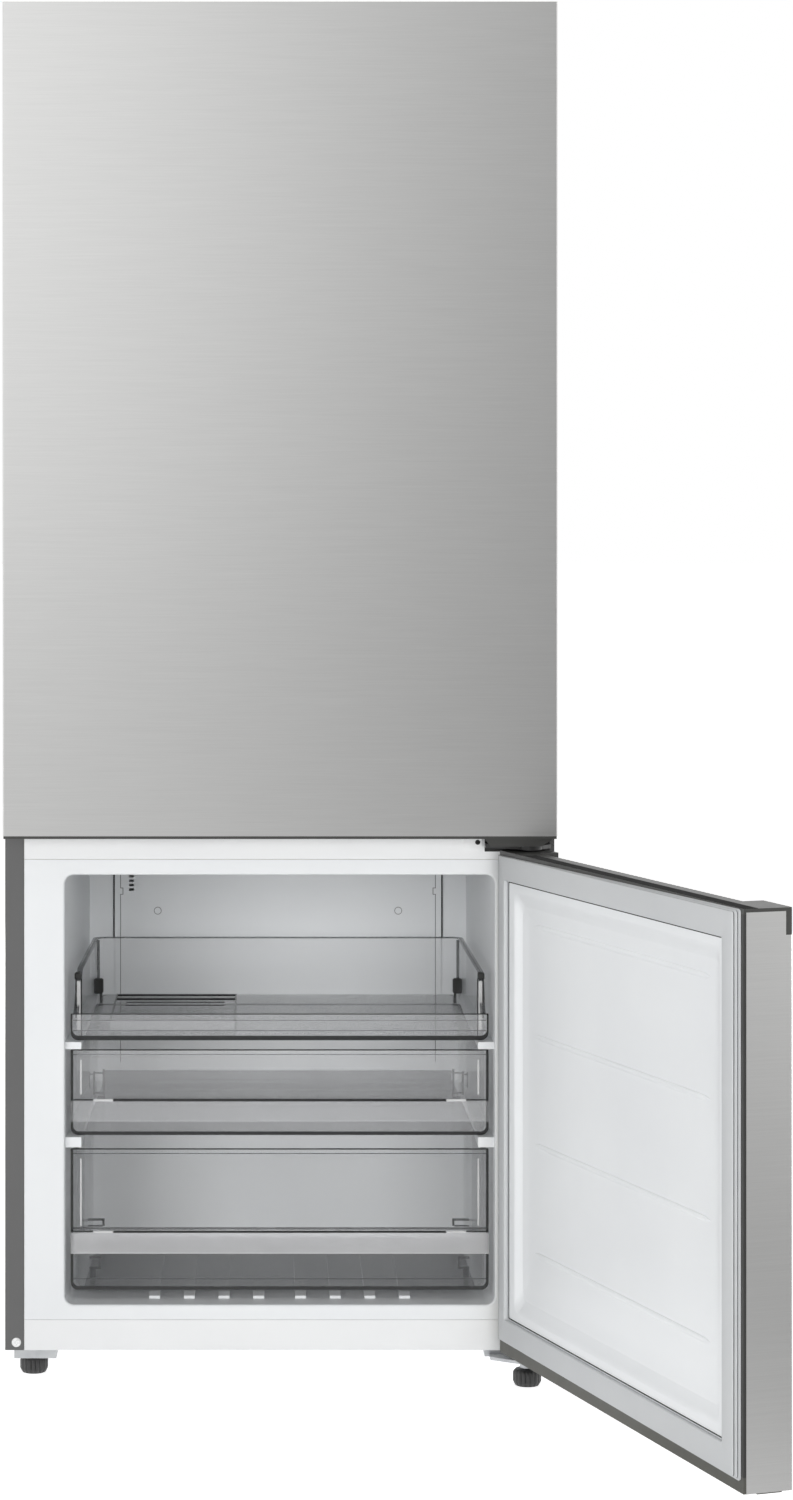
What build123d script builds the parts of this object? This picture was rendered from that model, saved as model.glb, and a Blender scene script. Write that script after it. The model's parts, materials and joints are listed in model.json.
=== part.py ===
"""Bottom freezer refrigerator, 1.75 m tall, with its freezer door standing open.

Sizes are millimetres. Cabinet places are given as x from the middle of the cabinet (right is
positive), y from the upper door's front face (back is positive) and z from the floor. The row's
origin is on the floor under the middle of the whole object as it stands, open door included.
"""
from build123d import *
from math import radians, tan
import os

os.makedirs("parts", exist_ok=True)

# ---------------------------------------------------------------- driving dimensions
CASE_HALF = 351.3          # half the width of the painted case
CASE_BOTTOM = 34.0         # underside of the cabinet
CASE_TOP = 1742.0
CASE_BACK = 700.0
CASE_SHEET = 0.8           # painted steel of the case
FLANGE = 24.0              # case sheet turned in at the front
REAR_FLANGE = 13.0
FRONT_Y = 65.65            # face of the cabinet that the gaskets meet
GAP = 0.3                  # clearance between pieces that part or slide
RUNNING = 0.05             # radial clearance of a pin or shaft in its hole

FREEZER_HALF = CASE_HALF - 76.0          # freezer opening at the cabinet's face
FREEZER_FLOOR = CASE_BOTTOM + 57.8
FREEZER_CEILING = 641.9
FREEZER_CORNER = 12.0
FREEZER_BACK = CASE_BACK - 169.0         # rear wall of the freezer
FREEZER_DRAFT = 1.22       # degrees that the walls close in towards the back
STEP_Y = FREEZER_BACK - 99.0             # the machine room's step inside the freezer
STEP_Z = FREEZER_FLOOR + 197.2
CHAMBER_HALF = FREEZER_HALF - 53.3       # evaporator chamber behind the back panel
CHAMBER_LOW = STEP_Z + 41.0
CHAMBER_HIGH = FREEZER_CEILING - 19.9
CHAMBER_BACK = FREEZER_BACK + 67.0
LEDGE_X = FREEZER_HALF - 20.7            # inner edge of the drawer ledges
LEDGE_LOW = STEP_Z + 14.8
LEDGE_HIGH = LEDGE_LOW + 122.0           # top of the upper ledge
LEDGE_HIGH_THICK = 9.0
LEDGE_LOW_THICK = 12.9

FRIDGE_HALF = CASE_HALF - 66.3
FRIDGE_FLOOR = FREEZER_CEILING + 95.1
FRIDGE_CEILING = CASE_TOP - 50.0
FRIDGE_BACK = CASE_BACK - 60.0
FRIDGE_CORNER = 14.0
FACE_HALF = CASE_HALF - 24.1             # white face inside the case's flanges
FACE_SEAM_LOW = FREEZER_FLOOR - 19.2     # seam above the base cover
FACE_SEAM_HIGH = FREEZER_CEILING + 20.1  # seam under the middle rail
RAIL_TOP = FRIDGE_FLOOR - 6.0
SEAM = 0.4
LINER_WALL = 2.0

DOOR_HALF = CASE_HALF - 1.3
UPPER_LOW = FREEZER_CEILING + 52.1       # underside of the upper door
UPPER_HIGH = CASE_TOP + 8.0
FREEZER_LOW = CASE_BOTTOM + 6.6
FREEZER_HIGH = UPPER_LOW - 17.2
SKIN = 0.8                 # stainless sheet of the doors
SKIN_DEPTH = FRONT_Y - 9.65              # depth of the sheet round the handle side
SKIN_HINGE_DEPTH = SKIN_DEPTH - 10.0     # less at the hinge side, where the door turns past the cabinet
SKIN_BEND = 2.0
HINGE_X = DOOR_HALF - 32.1               # both doors turn about one upright line
HINGE_Y = FRONT_Y - 41.35
OPEN_ANGLE = 108.8         # how far the freezer door stands open

GASKET_INSET = 18.3        # gasket's outer edge, in from the door's side
GASKET_BACK = FRONT_Y - 6.65             # where the gasket is seated
FRAME_BACK = GASKET_BACK - 3.0           # rear of a door's foam
PIN_R = 4.0
MID_PLATE_Z = FREEZER_HIGH + 1.7         # underside of the middle hinge's plate
MID_PLATE = 5.0
LOW_PLATE_Z = CASE_BOTTOM - 8.0
LOW_PLATE = 4.0
TOP_PLATE = 3.0
HINGE_IN = HINGE_X - 55.9                # a hinge plate's two sides
HINGE_OUT = HINGE_X + 27.1

ROOM_Y = STEP_Y + 46.0                   # front wall of the machine room
ROOM_TOP = STEP_Z - 27.0
HOOD_SHEET = 1.0

DRAWER_FRONT = FRONT_Y + 29.35           # front faces of the freezer drawers
DRAWER_FRONT_HALF = FREEZER_HALF - 6.3
DRAWER_HALF = FREEZER_HALF - 12.3        # body of a drawer just behind its front
DRAWER_WALL = 2.5
FOOT_R = 18.0
FOOT_HEIGHT = 21.0
FOOT_STEM_R = 5.0
FOOT_X = CASE_HALF - 35.3
FOOT_Y = FRONT_Y + 28.35
FOOT_RIGHT_X = HINGE_X - 4.7              # the right foot stands under the lower hinge
ROLLER_R = 15.0
ROLLER_X = CASE_HALF - 51.3
ROLLER_Y = CASE_BACK - 60.0
BOTTOM_LOW = FREEZER_FLOOR + 12.9        # underside of the bottom drawer

# ---------------------------------------------------------------- the row's frame
hinge = Vector(HINGE_X, HINGE_Y, 0)


def swung(x, y):
    """Where a point of the closed freezer door lies once it stands open, in cabinet places."""
    return hinge + (Vector(x, y, 0) - hinge).rotate(Axis.Z, OPEN_ANGLE)


far_front = swung(-DOOR_HALF, 0)
far_rear = swung(-DOOR_HALF, SKIN_DEPTH)
CENTRE_X = -(far_front.X - CASE_HALF) / 2
CENTRE_Y = -(far_rear.Y + CASE_BACK) / 2
CABINET = Location((CENTRE_X, CENTRE_Y, 0))
HINGE_LINE = Location((HINGE_X, HINGE_Y, 0))
OPEN_DOOR = CABINET * HINGE_LINE * Location((0, 0, 0), (0, 0, OPEN_ANGLE)) * HINGE_LINE.inverse()


def framed(plane, frame):
    """A plane given in cabinet places, set into the row's frame or into the open door's."""
    return Plane(frame * plane.location)


def level(z, frame=CABINET):
    """Horizontal plane at a height: sketches use x and y."""
    return framed(Plane.XY.offset(z), frame)


def facing(y, frame=CABINET):
    """Upright plane that faces forwards: sketches use x and z."""
    return framed(Plane(origin=(0, y, 0), x_dir=(1, 0, 0), z_dir=(0, -1, 0)), frame)


def rearward(y, frame=CABINET):
    """Upright plane that faces the back: sketches use minus x and z."""
    return framed(Plane(origin=(0, y, 0), x_dir=(-1, 0, 0), z_dir=(0, 1, 0)), frame)


def side(x, frame=CABINET):
    """Upright plane that faces right: sketches use y and z."""
    return framed(Plane(origin=(x, 0, 0), x_dir=(0, 1, 0), z_dir=(1, 0, 0)), frame)


def span(low_x, high_x, low_y, high_y, mode=Mode.ADD):
    """Rectangle between two corners of a sketch."""
    with Locations(((low_x + high_x) / 2, (low_y + high_y) / 2)):
        Rectangle(high_x - low_x, high_y - low_y, mode=mode)


def block(low, high, frame=CABINET, mode=Mode.ADD):
    """Square block between two corners, in cabinet places."""
    middle = [(a + b) / 2 for a, b in zip(low, high)]
    with Locations(frame * Location(middle)):
        Box(high[0] - low[0], high[1] - low[1], high[2] - low[2], mode=mode)


def upright(x, y, low, high, radius, frame=CABINET, mode=Mode.ADD):
    """Round post on a vertical axis."""
    with Locations(frame * Location((x, y, (low + high) / 2))):
        Cylinder(radius, high - low, mode=mode)


def rod_y(x, z, low, high, radius, frame=CABINET, mode=Mode.ADD):
    """Round rod that runs front to back."""
    with Locations(frame * Location((x, (low + high) / 2, z), (90, 0, 0))):
        Cylinder(radius, high - low, mode=mode)


def rod_x(y, z, low, high, radius, frame=CABINET, mode=Mode.ADD):
    """Round rod that runs left to right."""
    with Locations(frame * Location(((low + high) / 2, y, z), (0, 90, 0))):
        Cylinder(radius, high - low, mode=mode)


def write(part, name):
    """Label a finished piece and write it under its own name."""
    part.label = name
    export_step(part, f"parts/{name}.step")


# ---------------------------------------------------------------- painted steel case
for name, sign in (("left_side_panel", -1), ("right_side_panel", 1)):
    with BuildPart() as panel:
        with BuildSketch(level(CASE_BOTTOM)):
            edge = sign * CASE_HALF
            inner = sign * (CASE_HALF - CASE_SHEET)
            span(min(edge, inner), max(edge, inner), FRONT_Y, CASE_BACK)
            front_tip = sign * (CASE_HALF - FLANGE)
            span(min(edge, front_tip), max(edge, front_tip), FRONT_Y, FRONT_Y + CASE_SHEET)
            rear_tip = sign * (CASE_HALF - REAR_FLANGE)
            span(min(edge, rear_tip), max(edge, rear_tip), CASE_BACK - CASE_SHEET, CASE_BACK)
        extrude(amount=CASE_TOP - CASE_BOTTOM)
    write(panel.part, name)

PANEL_IN = CASE_HALF - CASE_SHEET        # inner faces of the side panels
with BuildPart() as top_panel:
    with BuildSketch(side(-PANEL_IN)):
        span(FRONT_Y + CASE_SHEET, CASE_BACK - CASE_SHEET, CASE_TOP - CASE_SHEET, CASE_TOP)
        span(CASE_BACK - 2 * CASE_SHEET, CASE_BACK - CASE_SHEET, CASE_TOP - REAR_FLANGE, CASE_TOP)
    extrude(amount=2 * PANEL_IN)
    with BuildSketch(side(-FACE_HALF)):
        span(FRONT_Y, FRONT_Y + CASE_SHEET, CASE_TOP - FLANGE, CASE_TOP)
    extrude(amount=2 * FACE_HALF)
write(top_panel.part, "top_panel")

PLATE_BACK = CASE_BACK - 2 * CASE_SHEET
RIDGE_HALF = CASE_HALF - 91.3
RIDGES = (ROOM_TOP + 358.0, CASE_TOP - 562.0)
with BuildPart() as back_plate:
    with BuildSketch(facing(PLATE_BACK - CASE_SHEET)):
        span(-PANEL_IN, PANEL_IN, ROOM_TOP + HOOD_SHEET, CASE_TOP - CASE_SHEET)
        for z in RIDGES:
            span(-RIDGE_HALF, RIDGE_HALF, z - 4, z + 4, mode=Mode.SUBTRACT)
    extrude(amount=-CASE_SHEET)
    for z in RIDGES:
        block((-RIDGE_HALF - 2, PLATE_BACK - CASE_SHEET, z - 6), (RIDGE_HALF + 2, PLATE_BACK, z + 6))
write(back_plate.part, "back_plate")

BASE_SHEET = 1.5
PUMP_Y = ROOM_Y + 112.0    # middle of the machine room, front to back
COOLER_X = -62.0
with BuildPart() as base_plate:
    with BuildSketch(level(CASE_BOTTOM)):
        span(-PANEL_IN, PANEL_IN, FRONT_Y + 3, CASE_BACK - CASE_SHEET)
        with Locations((COOLER_X + 122, PUMP_Y), (COOLER_X + 122, PUMP_Y + 30)):
            SlotOverall(150, 9, mode=Mode.SUBTRACT)
    extrude(amount=BASE_SHEET)
write(base_plate.part, "base_plate")
BASE_TOP = CASE_BOTTOM + BASE_SHEET

with BuildPart() as machine_room_hood:
    with BuildSketch(side(-PANEL_IN)):
        with BuildLine():
            Polyline(
                (ROOM_Y, BASE_TOP), (ROOM_Y, ROOM_TOP - 30), (ROOM_Y + 30, ROOM_TOP),
                (PLATE_BACK, ROOM_TOP), (PLATE_BACK, ROOM_TOP + HOOD_SHEET),
                (ROOM_Y + 30 - HOOD_SHEET / 2, ROOM_TOP + HOOD_SHEET),
                (ROOM_Y - HOOD_SHEET, ROOM_TOP - 30 + HOOD_SHEET / 2), (ROOM_Y - HOOD_SHEET, BASE_TOP),
                close=True)
        make_face()
    extrude(amount=2 * PANEL_IN)
write(machine_room_hood.part, "machine_room_hood")


# ---------------------------------------------------------------- liners and insulation
def freezer_void(wall, back=FREEZER_BACK):
    """The freezer's hollow, grown by a wall: rounded, closing in towards the back, stepped below."""
    middle = (FREEZER_FLOOR + FREEZER_CEILING) / 2
    with BuildPart() as void:
        with BuildSketch(rearward(FRONT_Y)):
            with Locations((0, middle)):
                RectangleRounded(2 * (FREEZER_HALF + wall), FREEZER_CEILING - FREEZER_FLOOR + 2 * wall,
                                 FREEZER_CORNER + wall)
        extrude(amount=back + wall - FRONT_Y, taper=FREEZER_DRAFT)
        block((-CASE_HALF, STEP_Y + wall, 0), (CASE_HALF, CASE_BACK, STEP_Z - wall), mode=Mode.SUBTRACT)
    return void.part


def wall_x(y):
    """Half width of the freezer between its side walls, at a depth."""
    return FREEZER_HALF - (y - FRONT_Y) * tan(radians(FREEZER_DRAFT))


def floor_z(y):
    """Height of the freezer's floor, just under its surface, at a depth."""
    return FREEZER_FLOOR - 1 + (y - FRONT_Y) * tan(radians(FREEZER_DRAFT))


RIB_HALF = 7.0
RIB_X = 27.0               # first rib from the middle, then one at each pitch
RIB_PITCH = 44.7
RIB_FRONT = FRONT_Y + 33
RIB_NOSE = 4.0             # height of a rib's blunt front, before its long slope
OPENING_EDGE = 3.0         # soft edge round the freezer's mouth
with BuildPart() as freezer_pocket:
    add(freezer_void(LINER_WALL))
    block((-CHAMBER_HALF - LINER_WALL, FREEZER_BACK, CHAMBER_LOW - LINER_WALL),
          (CHAMBER_HALF + LINER_WALL, CHAMBER_BACK + LINER_WALL, CHAMBER_HIGH + LINER_WALL))

with BuildPart() as freezer_liner:
    add(freezer_pocket.part)
    with BuildSketch(facing(FRONT_Y)):
        span(-FACE_HALF + SEAM, FACE_HALF - SEAM, FACE_SEAM_LOW + SEAM, FACE_SEAM_HIGH - SEAM)
    extrude(amount=-LINER_WALL)
    add(freezer_void(0), mode=Mode.SUBTRACT)
    block((-CHAMBER_HALF, FREEZER_BACK - 1, CHAMBER_LOW), (CHAMBER_HALF, CHAMBER_BACK, CHAMBER_HIGH),
          mode=Mode.SUBTRACT)
    # ledges that carry the drawers, moulded into both side walls
    for top, thick, back in ((LEDGE_HIGH, LEDGE_HIGH_THICK, FREEZER_BACK - 6),
                             (LEDGE_LOW, LEDGE_LOW_THICK, FREEZER_BACK - 6)):
        for sign in (-1, 1):
            front = FRONT_Y + 14
            with BuildSketch(level(top - thick)):
                with BuildLine():
                    Polyline((sign * LEDGE_X, front), (sign * (wall_x(front) + 1), front),
                             (sign * (wall_x(back) + 1), back), (sign * LEDGE_X, back), close=True)
                make_face()
            extrude(amount=thick)
    # ribs on the floor that the bottom drawer rests on, with sloped fronts
    for i in range(4):
        for sign in (-1, 1):
            with BuildSketch(side(sign * (RIB_X + i * RIB_PITCH) - RIB_HALF)):
                with BuildLine():
                    Polyline((RIB_FRONT, floor_z(RIB_FRONT)), (RIB_FRONT + 2, FREEZER_FLOOR + RIB_NOSE),
                             (RIB_FRONT + 52, BOTTOM_LOW - GAP), (STEP_Y, BOTTOM_LOW - GAP),
                             (STEP_Y, floor_z(STEP_Y)), close=True)
                make_face()
            extrude(amount=2 * RIB_HALF)
    fillet(freezer_liner.faces().sort_by(Axis.Y)[0].inner_wires()[0].edges(), OPENING_EDGE)
write(freezer_liner.part, "freezer_liner")


def fridge_void(wall):
    """The fridge's hollow, grown by a wall."""
    with BuildPart() as void:
        with BuildSketch(rearward(FRONT_Y)):
            with Locations((0, (FRIDGE_FLOOR + FRIDGE_CEILING) / 2)):
                RectangleRounded(2 * (FRIDGE_HALF + wall), FRIDGE_CEILING - FRIDGE_FLOOR + 2 * wall,
                                 FRIDGE_CORNER + wall)
        extrude(amount=FRIDGE_BACK + wall - FRONT_Y)
    return void.part


SHELF_FRONT = FRONT_Y + 149.35
SHELF_BACK = FRIDGE_BACK - 28.0
SHELF_LEDGE = 12.0
SHELF_TOPS = {"glass_shelf_upper": FRIDGE_CEILING - 292.0, "glass_shelf_lower": FRIDGE_CEILING - 502.0,
              "crisper_cover": FRIDGE_FLOOR + 248.0}
GLASS = 4.0
with BuildPart() as fridge_liner:
    add(fridge_void(LINER_WALL))
    with BuildSketch(facing(FRONT_Y)):
        span(-FACE_HALF + SEAM, FACE_HALF - SEAM, RAIL_TOP + SEAM, CASE_TOP - FLANGE - SEAM)
    extrude(amount=-LINER_WALL)
    add(fridge_void(0), mode=Mode.SUBTRACT)
    for top in SHELF_TOPS.values():
        for sign in (-1, 1):
            near = sign * (FRIDGE_HALF - SHELF_LEDGE)
            far = sign * (FRIDGE_HALF + 1)
            block((min(near, far), SHELF_FRONT, top - GLASS - 8), (max(near, far), SHELF_BACK, top - GLASS))
write(fridge_liner.part, "fridge_liner")

RAIL_SHEET = 2.0
PAD_X = HINGE_IN - 15.0
PAD_Z = FACE_SEAM_HIGH + 22.0
PAD_THICK = 2.5
with BuildPart() as middle_rail:
    with BuildSketch(side(-FACE_HALF + SEAM)):
        span(FRONT_Y, FRONT_Y + RAIL_SHEET, FACE_SEAM_HIGH, RAIL_TOP)
        span(FRONT_Y, FRONT_Y + 16, FACE_SEAM_HIGH, FACE_SEAM_HIGH + RAIL_SHEET)
        span(FRONT_Y, FRONT_Y + 16, RAIL_TOP - RAIL_SHEET, RAIL_TOP)
    extrude(amount=2 * (FACE_HALF - SEAM))
    # raised pad beside the hinge, with a hollow for its screw
    with BuildSketch(facing(FRONT_Y)):
        with Locations((PAD_X, PAD_Z)):
            RectangleRounded(24, 18, 3)
    extrude(amount=PAD_THICK)
write(middle_rail.part, "middle_rail")

with BuildPart() as base_cover:
    with BuildSketch(side(-FACE_HALF + SEAM)):
        span(FRONT_Y, FRONT_Y + 3, CASE_BOTTOM, FACE_SEAM_LOW)
        span(FRONT_Y, FRONT_Y + 14, FACE_SEAM_LOW - 3, FACE_SEAM_LOW)
    extrude(amount=2 * (FACE_HALF - SEAM))
write(base_cover.part, "base_cover")

FOAM_FRONT = FRONT_Y + 17
with BuildPart() as cabinet_insulation:
    block((-PANEL_IN, FOAM_FRONT, BASE_TOP), (PANEL_IN, PLATE_BACK - CASE_SHEET, CASE_TOP - CASE_SHEET))
    with BuildSketch(side(-PANEL_IN)):
        with BuildLine():
            Polyline((ROOM_Y - HOOD_SHEET, BASE_TOP), (ROOM_Y - HOOD_SHEET, ROOM_TOP - 30 + HOOD_SHEET / 2),
                     (ROOM_Y + 30 - HOOD_SHEET / 2, ROOM_TOP + HOOD_SHEET),
                     (CASE_BACK, ROOM_TOP + HOOD_SHEET), (CASE_BACK, BASE_TOP), close=True)
        make_face()
    extrude(amount=2 * PANEL_IN, mode=Mode.SUBTRACT)
    add(freezer_pocket.part, mode=Mode.SUBTRACT)
    add(fridge_void(LINER_WALL), mode=Mode.SUBTRACT)
write(cabinet_insulation.part, "cabinet_insulation")

# ---------------------------------------------------------------- inside the freezer's back wall
COVER_THICK = 3.0
COVER_HALF = FREEZER_HALF - 45.3
COVER_TOP = FREEZER_CEILING - 11.0
COVER_BACK = FREEZER_BACK
VENT_X = 23.5 - COVER_HALF
with BuildPart() as evaporator_cover:
    with BuildSketch(facing(COVER_BACK)):
        span(-COVER_HALF, COVER_HALF, STEP_Z + GAP, COVER_TOP)
    extrude(amount=COVER_THICK)
    # air slots, then low ribs and screw plugs on the face
    with BuildSketch(facing(COVER_BACK)):
        with Locations((VENT_X, COVER_TOP - 36.1)):
            with GridLocations(0, 6.3, 1, 8):
                Rectangle(6.8, 3.4)
        with Locations((0, COVER_TOP - 17.9)):
            with GridLocations(34, 12, 5, 3):
                SlotOverall(26, 5)
        span(70 - COVER_HALF, COVER_HALF - 70, STEP_Z + 30, STEP_Z + 34)
    extrude(amount=COVER_THICK, mode=Mode.SUBTRACT)
    for sign in (-1, 1):
        x = sign * (COVER_HALF - 84.3)
        face = COVER_BACK - COVER_THICK
        block((x - 2, face - 1.2, COVER_TOP - 66.9), (x + 2, face, COVER_TOP - 2.9))
        rod_y(sign * (COVER_HALF - 60.5), COVER_TOP - 87.9, face - 0.8, face, 5)
write(evaporator_cover.part, "evaporator_cover")

EVAP_HALF = CHAMBER_HALF - 32.0
EVAP_LOW = CHAMBER_LOW + 22.0
EVAP_HIGH = CHAMBER_HIGH - 122.0
EVAP_Y = CHAMBER_BACK - 32.0
FIN_COUNT = 30
FIN_PITCH = 2 * EVAP_HALF / (FIN_COUNT - 1)
FIN_DEPTH = 52.0
TUBE_R = 4.0
with BuildPart() as evaporator:
    for row in range(4):
        z = EVAP_LOW + 20 + row * (EVAP_HIGH - EVAP_LOW - 40) / 3
        rod_x(EVAP_Y - 12, z, -EVAP_HALF - 8, EVAP_HALF + 8, TUBE_R)
        rod_x(EVAP_Y + 12, z, -EVAP_HALF - 8, EVAP_HALF + 8, TUBE_R)
        for sign in (-1, 1):
            block((sign * (EVAP_HALF + 8) - 4, EVAP_Y - 12, z - 4),
                  (sign * (EVAP_HALF + 8) + 4, EVAP_Y + 12, z + 4))
    with Locations(CABINET * Location((0, EVAP_Y, (EVAP_LOW + EVAP_HIGH) / 2), (90, 0, 0))):
        with GridLocations(FIN_PITCH, 0, FIN_COUNT, 1):
            Box(1.0, EVAP_HIGH - EVAP_LOW, FIN_DEPTH)
    for sign in (-1, 1):
        x = sign * (EVAP_HALF - 40)
        tab = 0.55 * FIN_PITCH               # a tab always meets a fin
        block((x - tab, EVAP_Y + FIN_DEPTH / 2 - 1, EVAP_LOW + 48), (x + tab, CHAMBER_BACK, EVAP_LOW + 68))
write(evaporator.part, "evaporator")

HEATER_Z = EVAP_LOW - 9
with BuildPart() as defrost_heater:
    rod_x(EVAP_Y, HEATER_Z, -EVAP_HALF, EVAP_HALF, 5)
    for sign in (-1, 1):
        x = sign * (EVAP_HALF - 10)
        block((x - 3, EVAP_Y - 7, HEATER_Z - 7), (x + 3, EVAP_Y + 7, EVAP_LOW))
write(defrost_heater.part, "defrost_heater")

FAN_Z = CHAMBER_HIGH - 60.0
FAN_Y = CHAMBER_BACK - 42.0
SHAFT_R = 2.0
with BuildPart() as evaporator_fan_motor:
    rod_y(0, FAN_Z, FAN_Y + 14, FAN_Y + 36, 17)
    rod_y(0, FAN_Z, FAN_Y - 10, FAN_Y + 14, SHAFT_R)
    block((-60, FAN_Y + 36, FAN_Z - 8), (60, FAN_Y + 39, FAN_Z + 8))
    for sign in (-1, 1):
        x = sign * 56
        block((x - 4, FAN_Y + 36, FAN_Z - 8), (x + 4, CHAMBER_BACK, FAN_Z + 8))
write(evaporator_fan_motor.part, "evaporator_fan_motor")


def fan(centre, along, radius, hub, depth, blades):
    """Axial fan: a hub with a bore for its shaft and tilted blades around it."""
    shaft = Plane(origin=(CENTRE_X + centre[0], CENTRE_Y + centre[1], centre[2]), z_dir=along)
    with BuildPart() as piece:
        with BuildSketch(shaft.offset(-depth / 2)):
            Circle(hub)
        extrude(amount=depth)
        with Locations(shaft.location):
            with PolarLocations((hub + radius) / 2 - 0.5, blades):
                with Locations(Location((0, 0, 0), (32, 0, 0))):
                    Box(radius - hub + 1, 0.62 * radius, 1.6)
        with BuildSketch(shaft.offset(-depth)):
            Circle(radius)
            Circle(SHAFT_R + RUNNING, mode=Mode.SUBTRACT)
        extrude(amount=2 * depth, mode=Mode.INTERSECT)
    return piece.part


write(fan((0, FAN_Y, FAN_Z), (0, 1, 0), 48, 13, 18, 7), "evaporator_fan")

# ---------------------------------------------------------------- machine room
PUMP_X = CASE_HALF - 166.3
PUMP_R = 76.0
PUMP_LOW = BASE_TOP + 24.5
PUMP_HIGH = ROOM_TOP - 44.0
MOUNT_HIGH = BASE_TOP + 20.5
with BuildPart() as compressor:
    with BuildSketch(Plane(origin=(CENTRE_X + PUMP_X, CENTRE_Y + PUMP_Y, 0),
                           x_dir=(1, 0, 0), z_dir=(0, -1, 0))):
        with BuildLine():
            Polyline((0, PUMP_LOW), (PUMP_R - 16, PUMP_LOW))
            RadiusArc((PUMP_R - 16, PUMP_LOW), (PUMP_R, PUMP_LOW + 24), -30)
            Polyline((PUMP_R, PUMP_LOW + 24), (PUMP_R, PUMP_HIGH - 38))
            RadiusArc((PUMP_R, PUMP_HIGH - 38), (0, PUMP_HIGH), -105)
            Line((0, PUMP_HIGH), (0, PUMP_LOW))
        make_face()
    revolve(axis=Axis((CENTRE_X + PUMP_X, CENTRE_Y + PUMP_Y, 0), (0, 0, 1)))
    block((PUMP_X - 90, PUMP_Y - 62, MOUNT_HIGH), (PUMP_X + 90, PUMP_Y + 62, PUMP_LOW + 0.5))
    upright(PUMP_X - 30, PUMP_Y, PUMP_HIGH - 18, PUMP_HIGH + 14, TUBE_R)
write(compressor.part, "compressor")

with BuildPart() as compressor_mounts:
    for dx in (-78, 78):
        for dy in (-50, 50):
            upright(PUMP_X + dx, PUMP_Y + dy, BASE_TOP, MOUNT_HIGH, 12)
write(compressor_mounts.part, "compressor_mounts")

COIL_LEFT = 33.3 - CASE_HALF
COIL_FINS = 23
COIL_PITCH = 8.0
COIL_RIGHT = COIL_LEFT + (COIL_FINS - 1) * COIL_PITCH + 2
COIL_LOW = BASE_TOP + 30.5
COIL_HIGH = ROOM_TOP - 26.0
with BuildPart() as condenser:
    for i in range(COIL_FINS):
        x = COIL_LEFT + i * COIL_PITCH
        block((x, PUMP_Y - 70, COIL_LOW), (x + 1, PUMP_Y + 50, COIL_HIGH))
    for row in range(4):
        for y in (PUMP_Y - 40, PUMP_Y + 20):
            rod_x(y, COIL_LOW + 24 + row * (COIL_HIGH - COIL_LOW - 50) / 3,
                  COIL_LEFT - 6, COIL_RIGHT + 6, TUBE_R)
    for x in (COIL_LEFT, COIL_RIGHT - 6):
        for y in (PUMP_Y - 60, PUMP_Y + 34):
            block((x, y, BASE_TOP), (x + 6, y + 6, COIL_LOW + 4))
write(condenser.part, "condenser")

with BuildPart() as drain_pan:
    with BuildSketch(level(BASE_TOP)):
        span(COIL_LEFT + 10, COIL_RIGHT - 10, PUMP_Y - 70, PUMP_Y + 60)
    extrude(amount=22)
    with BuildSketch(level(BASE_TOP + LINER_WALL)):
        span(COIL_LEFT + 12, COIL_RIGHT - 12, PUMP_Y - 68, PUMP_Y + 58)
    extrude(amount=22, mode=Mode.SUBTRACT)
write(drain_pan.part, "drain_pan")

COOLER_Z = 150.0
with BuildPart() as condenser_fan_motor:
    rod_x(PUMP_Y, COOLER_Z, COOLER_X + 14, COOLER_X + 46, 20)
    rod_x(PUMP_Y, COOLER_Z, COOLER_X - 10, COOLER_X + 14, SHAFT_R)
    block((COOLER_X + 30, PUMP_Y - 9, BASE_TOP), (COOLER_X + 36, PUMP_Y + 9, COOLER_Z))
    block((COOLER_X + 16, PUMP_Y - 24, BASE_TOP), (COOLER_X + 56, PUMP_Y + 24, BASE_TOP + 2))
write(condenser_fan_motor.part, "condenser_fan_motor")
write(fan((COOLER_X, PUMP_Y, COOLER_Z), (1, 0, 0), 66, 16, 20, 5), "condenser_fan")

COVER_SHEET = 1.2
LOUVRE = (CASE_HALF - 91.3) * 0.4
LOUVRE_Z = BASE_TOP + 94.5
GLAND_X = 101.3 - CASE_HALF
GLAND_Z = ROOM_TOP - 36.0
with BuildPart() as machine_cover:
    with BuildSketch(facing(CASE_BACK - CASE_SHEET)):
        span(-PANEL_IN, PANEL_IN, BASE_TOP + GAP, ROOM_TOP - GAP)
        with Locations((-5, LOUVRE_Z)):
            with GridLocations(LOUVRE + 26, 16, 4, 8):
                SlotOverall(LOUVRE, 6, mode=Mode.SUBTRACT)
        with Locations((GLAND_X, GLAND_Z)):
            Circle(9, mode=Mode.SUBTRACT)
    extrude(amount=COVER_SHEET)
write(machine_cover.part, "machine_cover")

with BuildPart() as cord_gland:
    rod_y(GLAND_X, GLAND_Z, CASE_BACK - 8, CASE_BACK, 9)
    rod_y(GLAND_X, GLAND_Z, CASE_BACK - 8, CASE_BACK - CASE_SHEET - COVER_SHEET, 12)
    rod_y(GLAND_X, GLAND_Z, CASE_BACK - 12, CASE_BACK + 4, 4, mode=Mode.SUBTRACT)
write(cord_gland.part, "cord_gland")

# ---------------------------------------------------------------- feet and rollers
with BuildPart() as foot_bracket:
    with BuildSketch(facing(FOOT_Y - 24)):
        span(-FOOT_X - 24, -FOOT_X + 30, 22.5, CASE_BOTTOM)
        span(-FOOT_X - 21, -FOOT_X + 27, 25.5, CASE_BOTTOM, mode=Mode.SUBTRACT)
    extrude(amount=-48)
    block((-FOOT_X - 24, FOOT_Y - 24, 22.5), (-FOOT_X + 30, FOOT_Y - 22, CASE_BOTTOM))
    upright(-FOOT_X, FOOT_Y, 20, 26, FOOT_STEM_R + RUNNING, mode=Mode.SUBTRACT)
write(foot_bracket.part, "foot_bracket")


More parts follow.
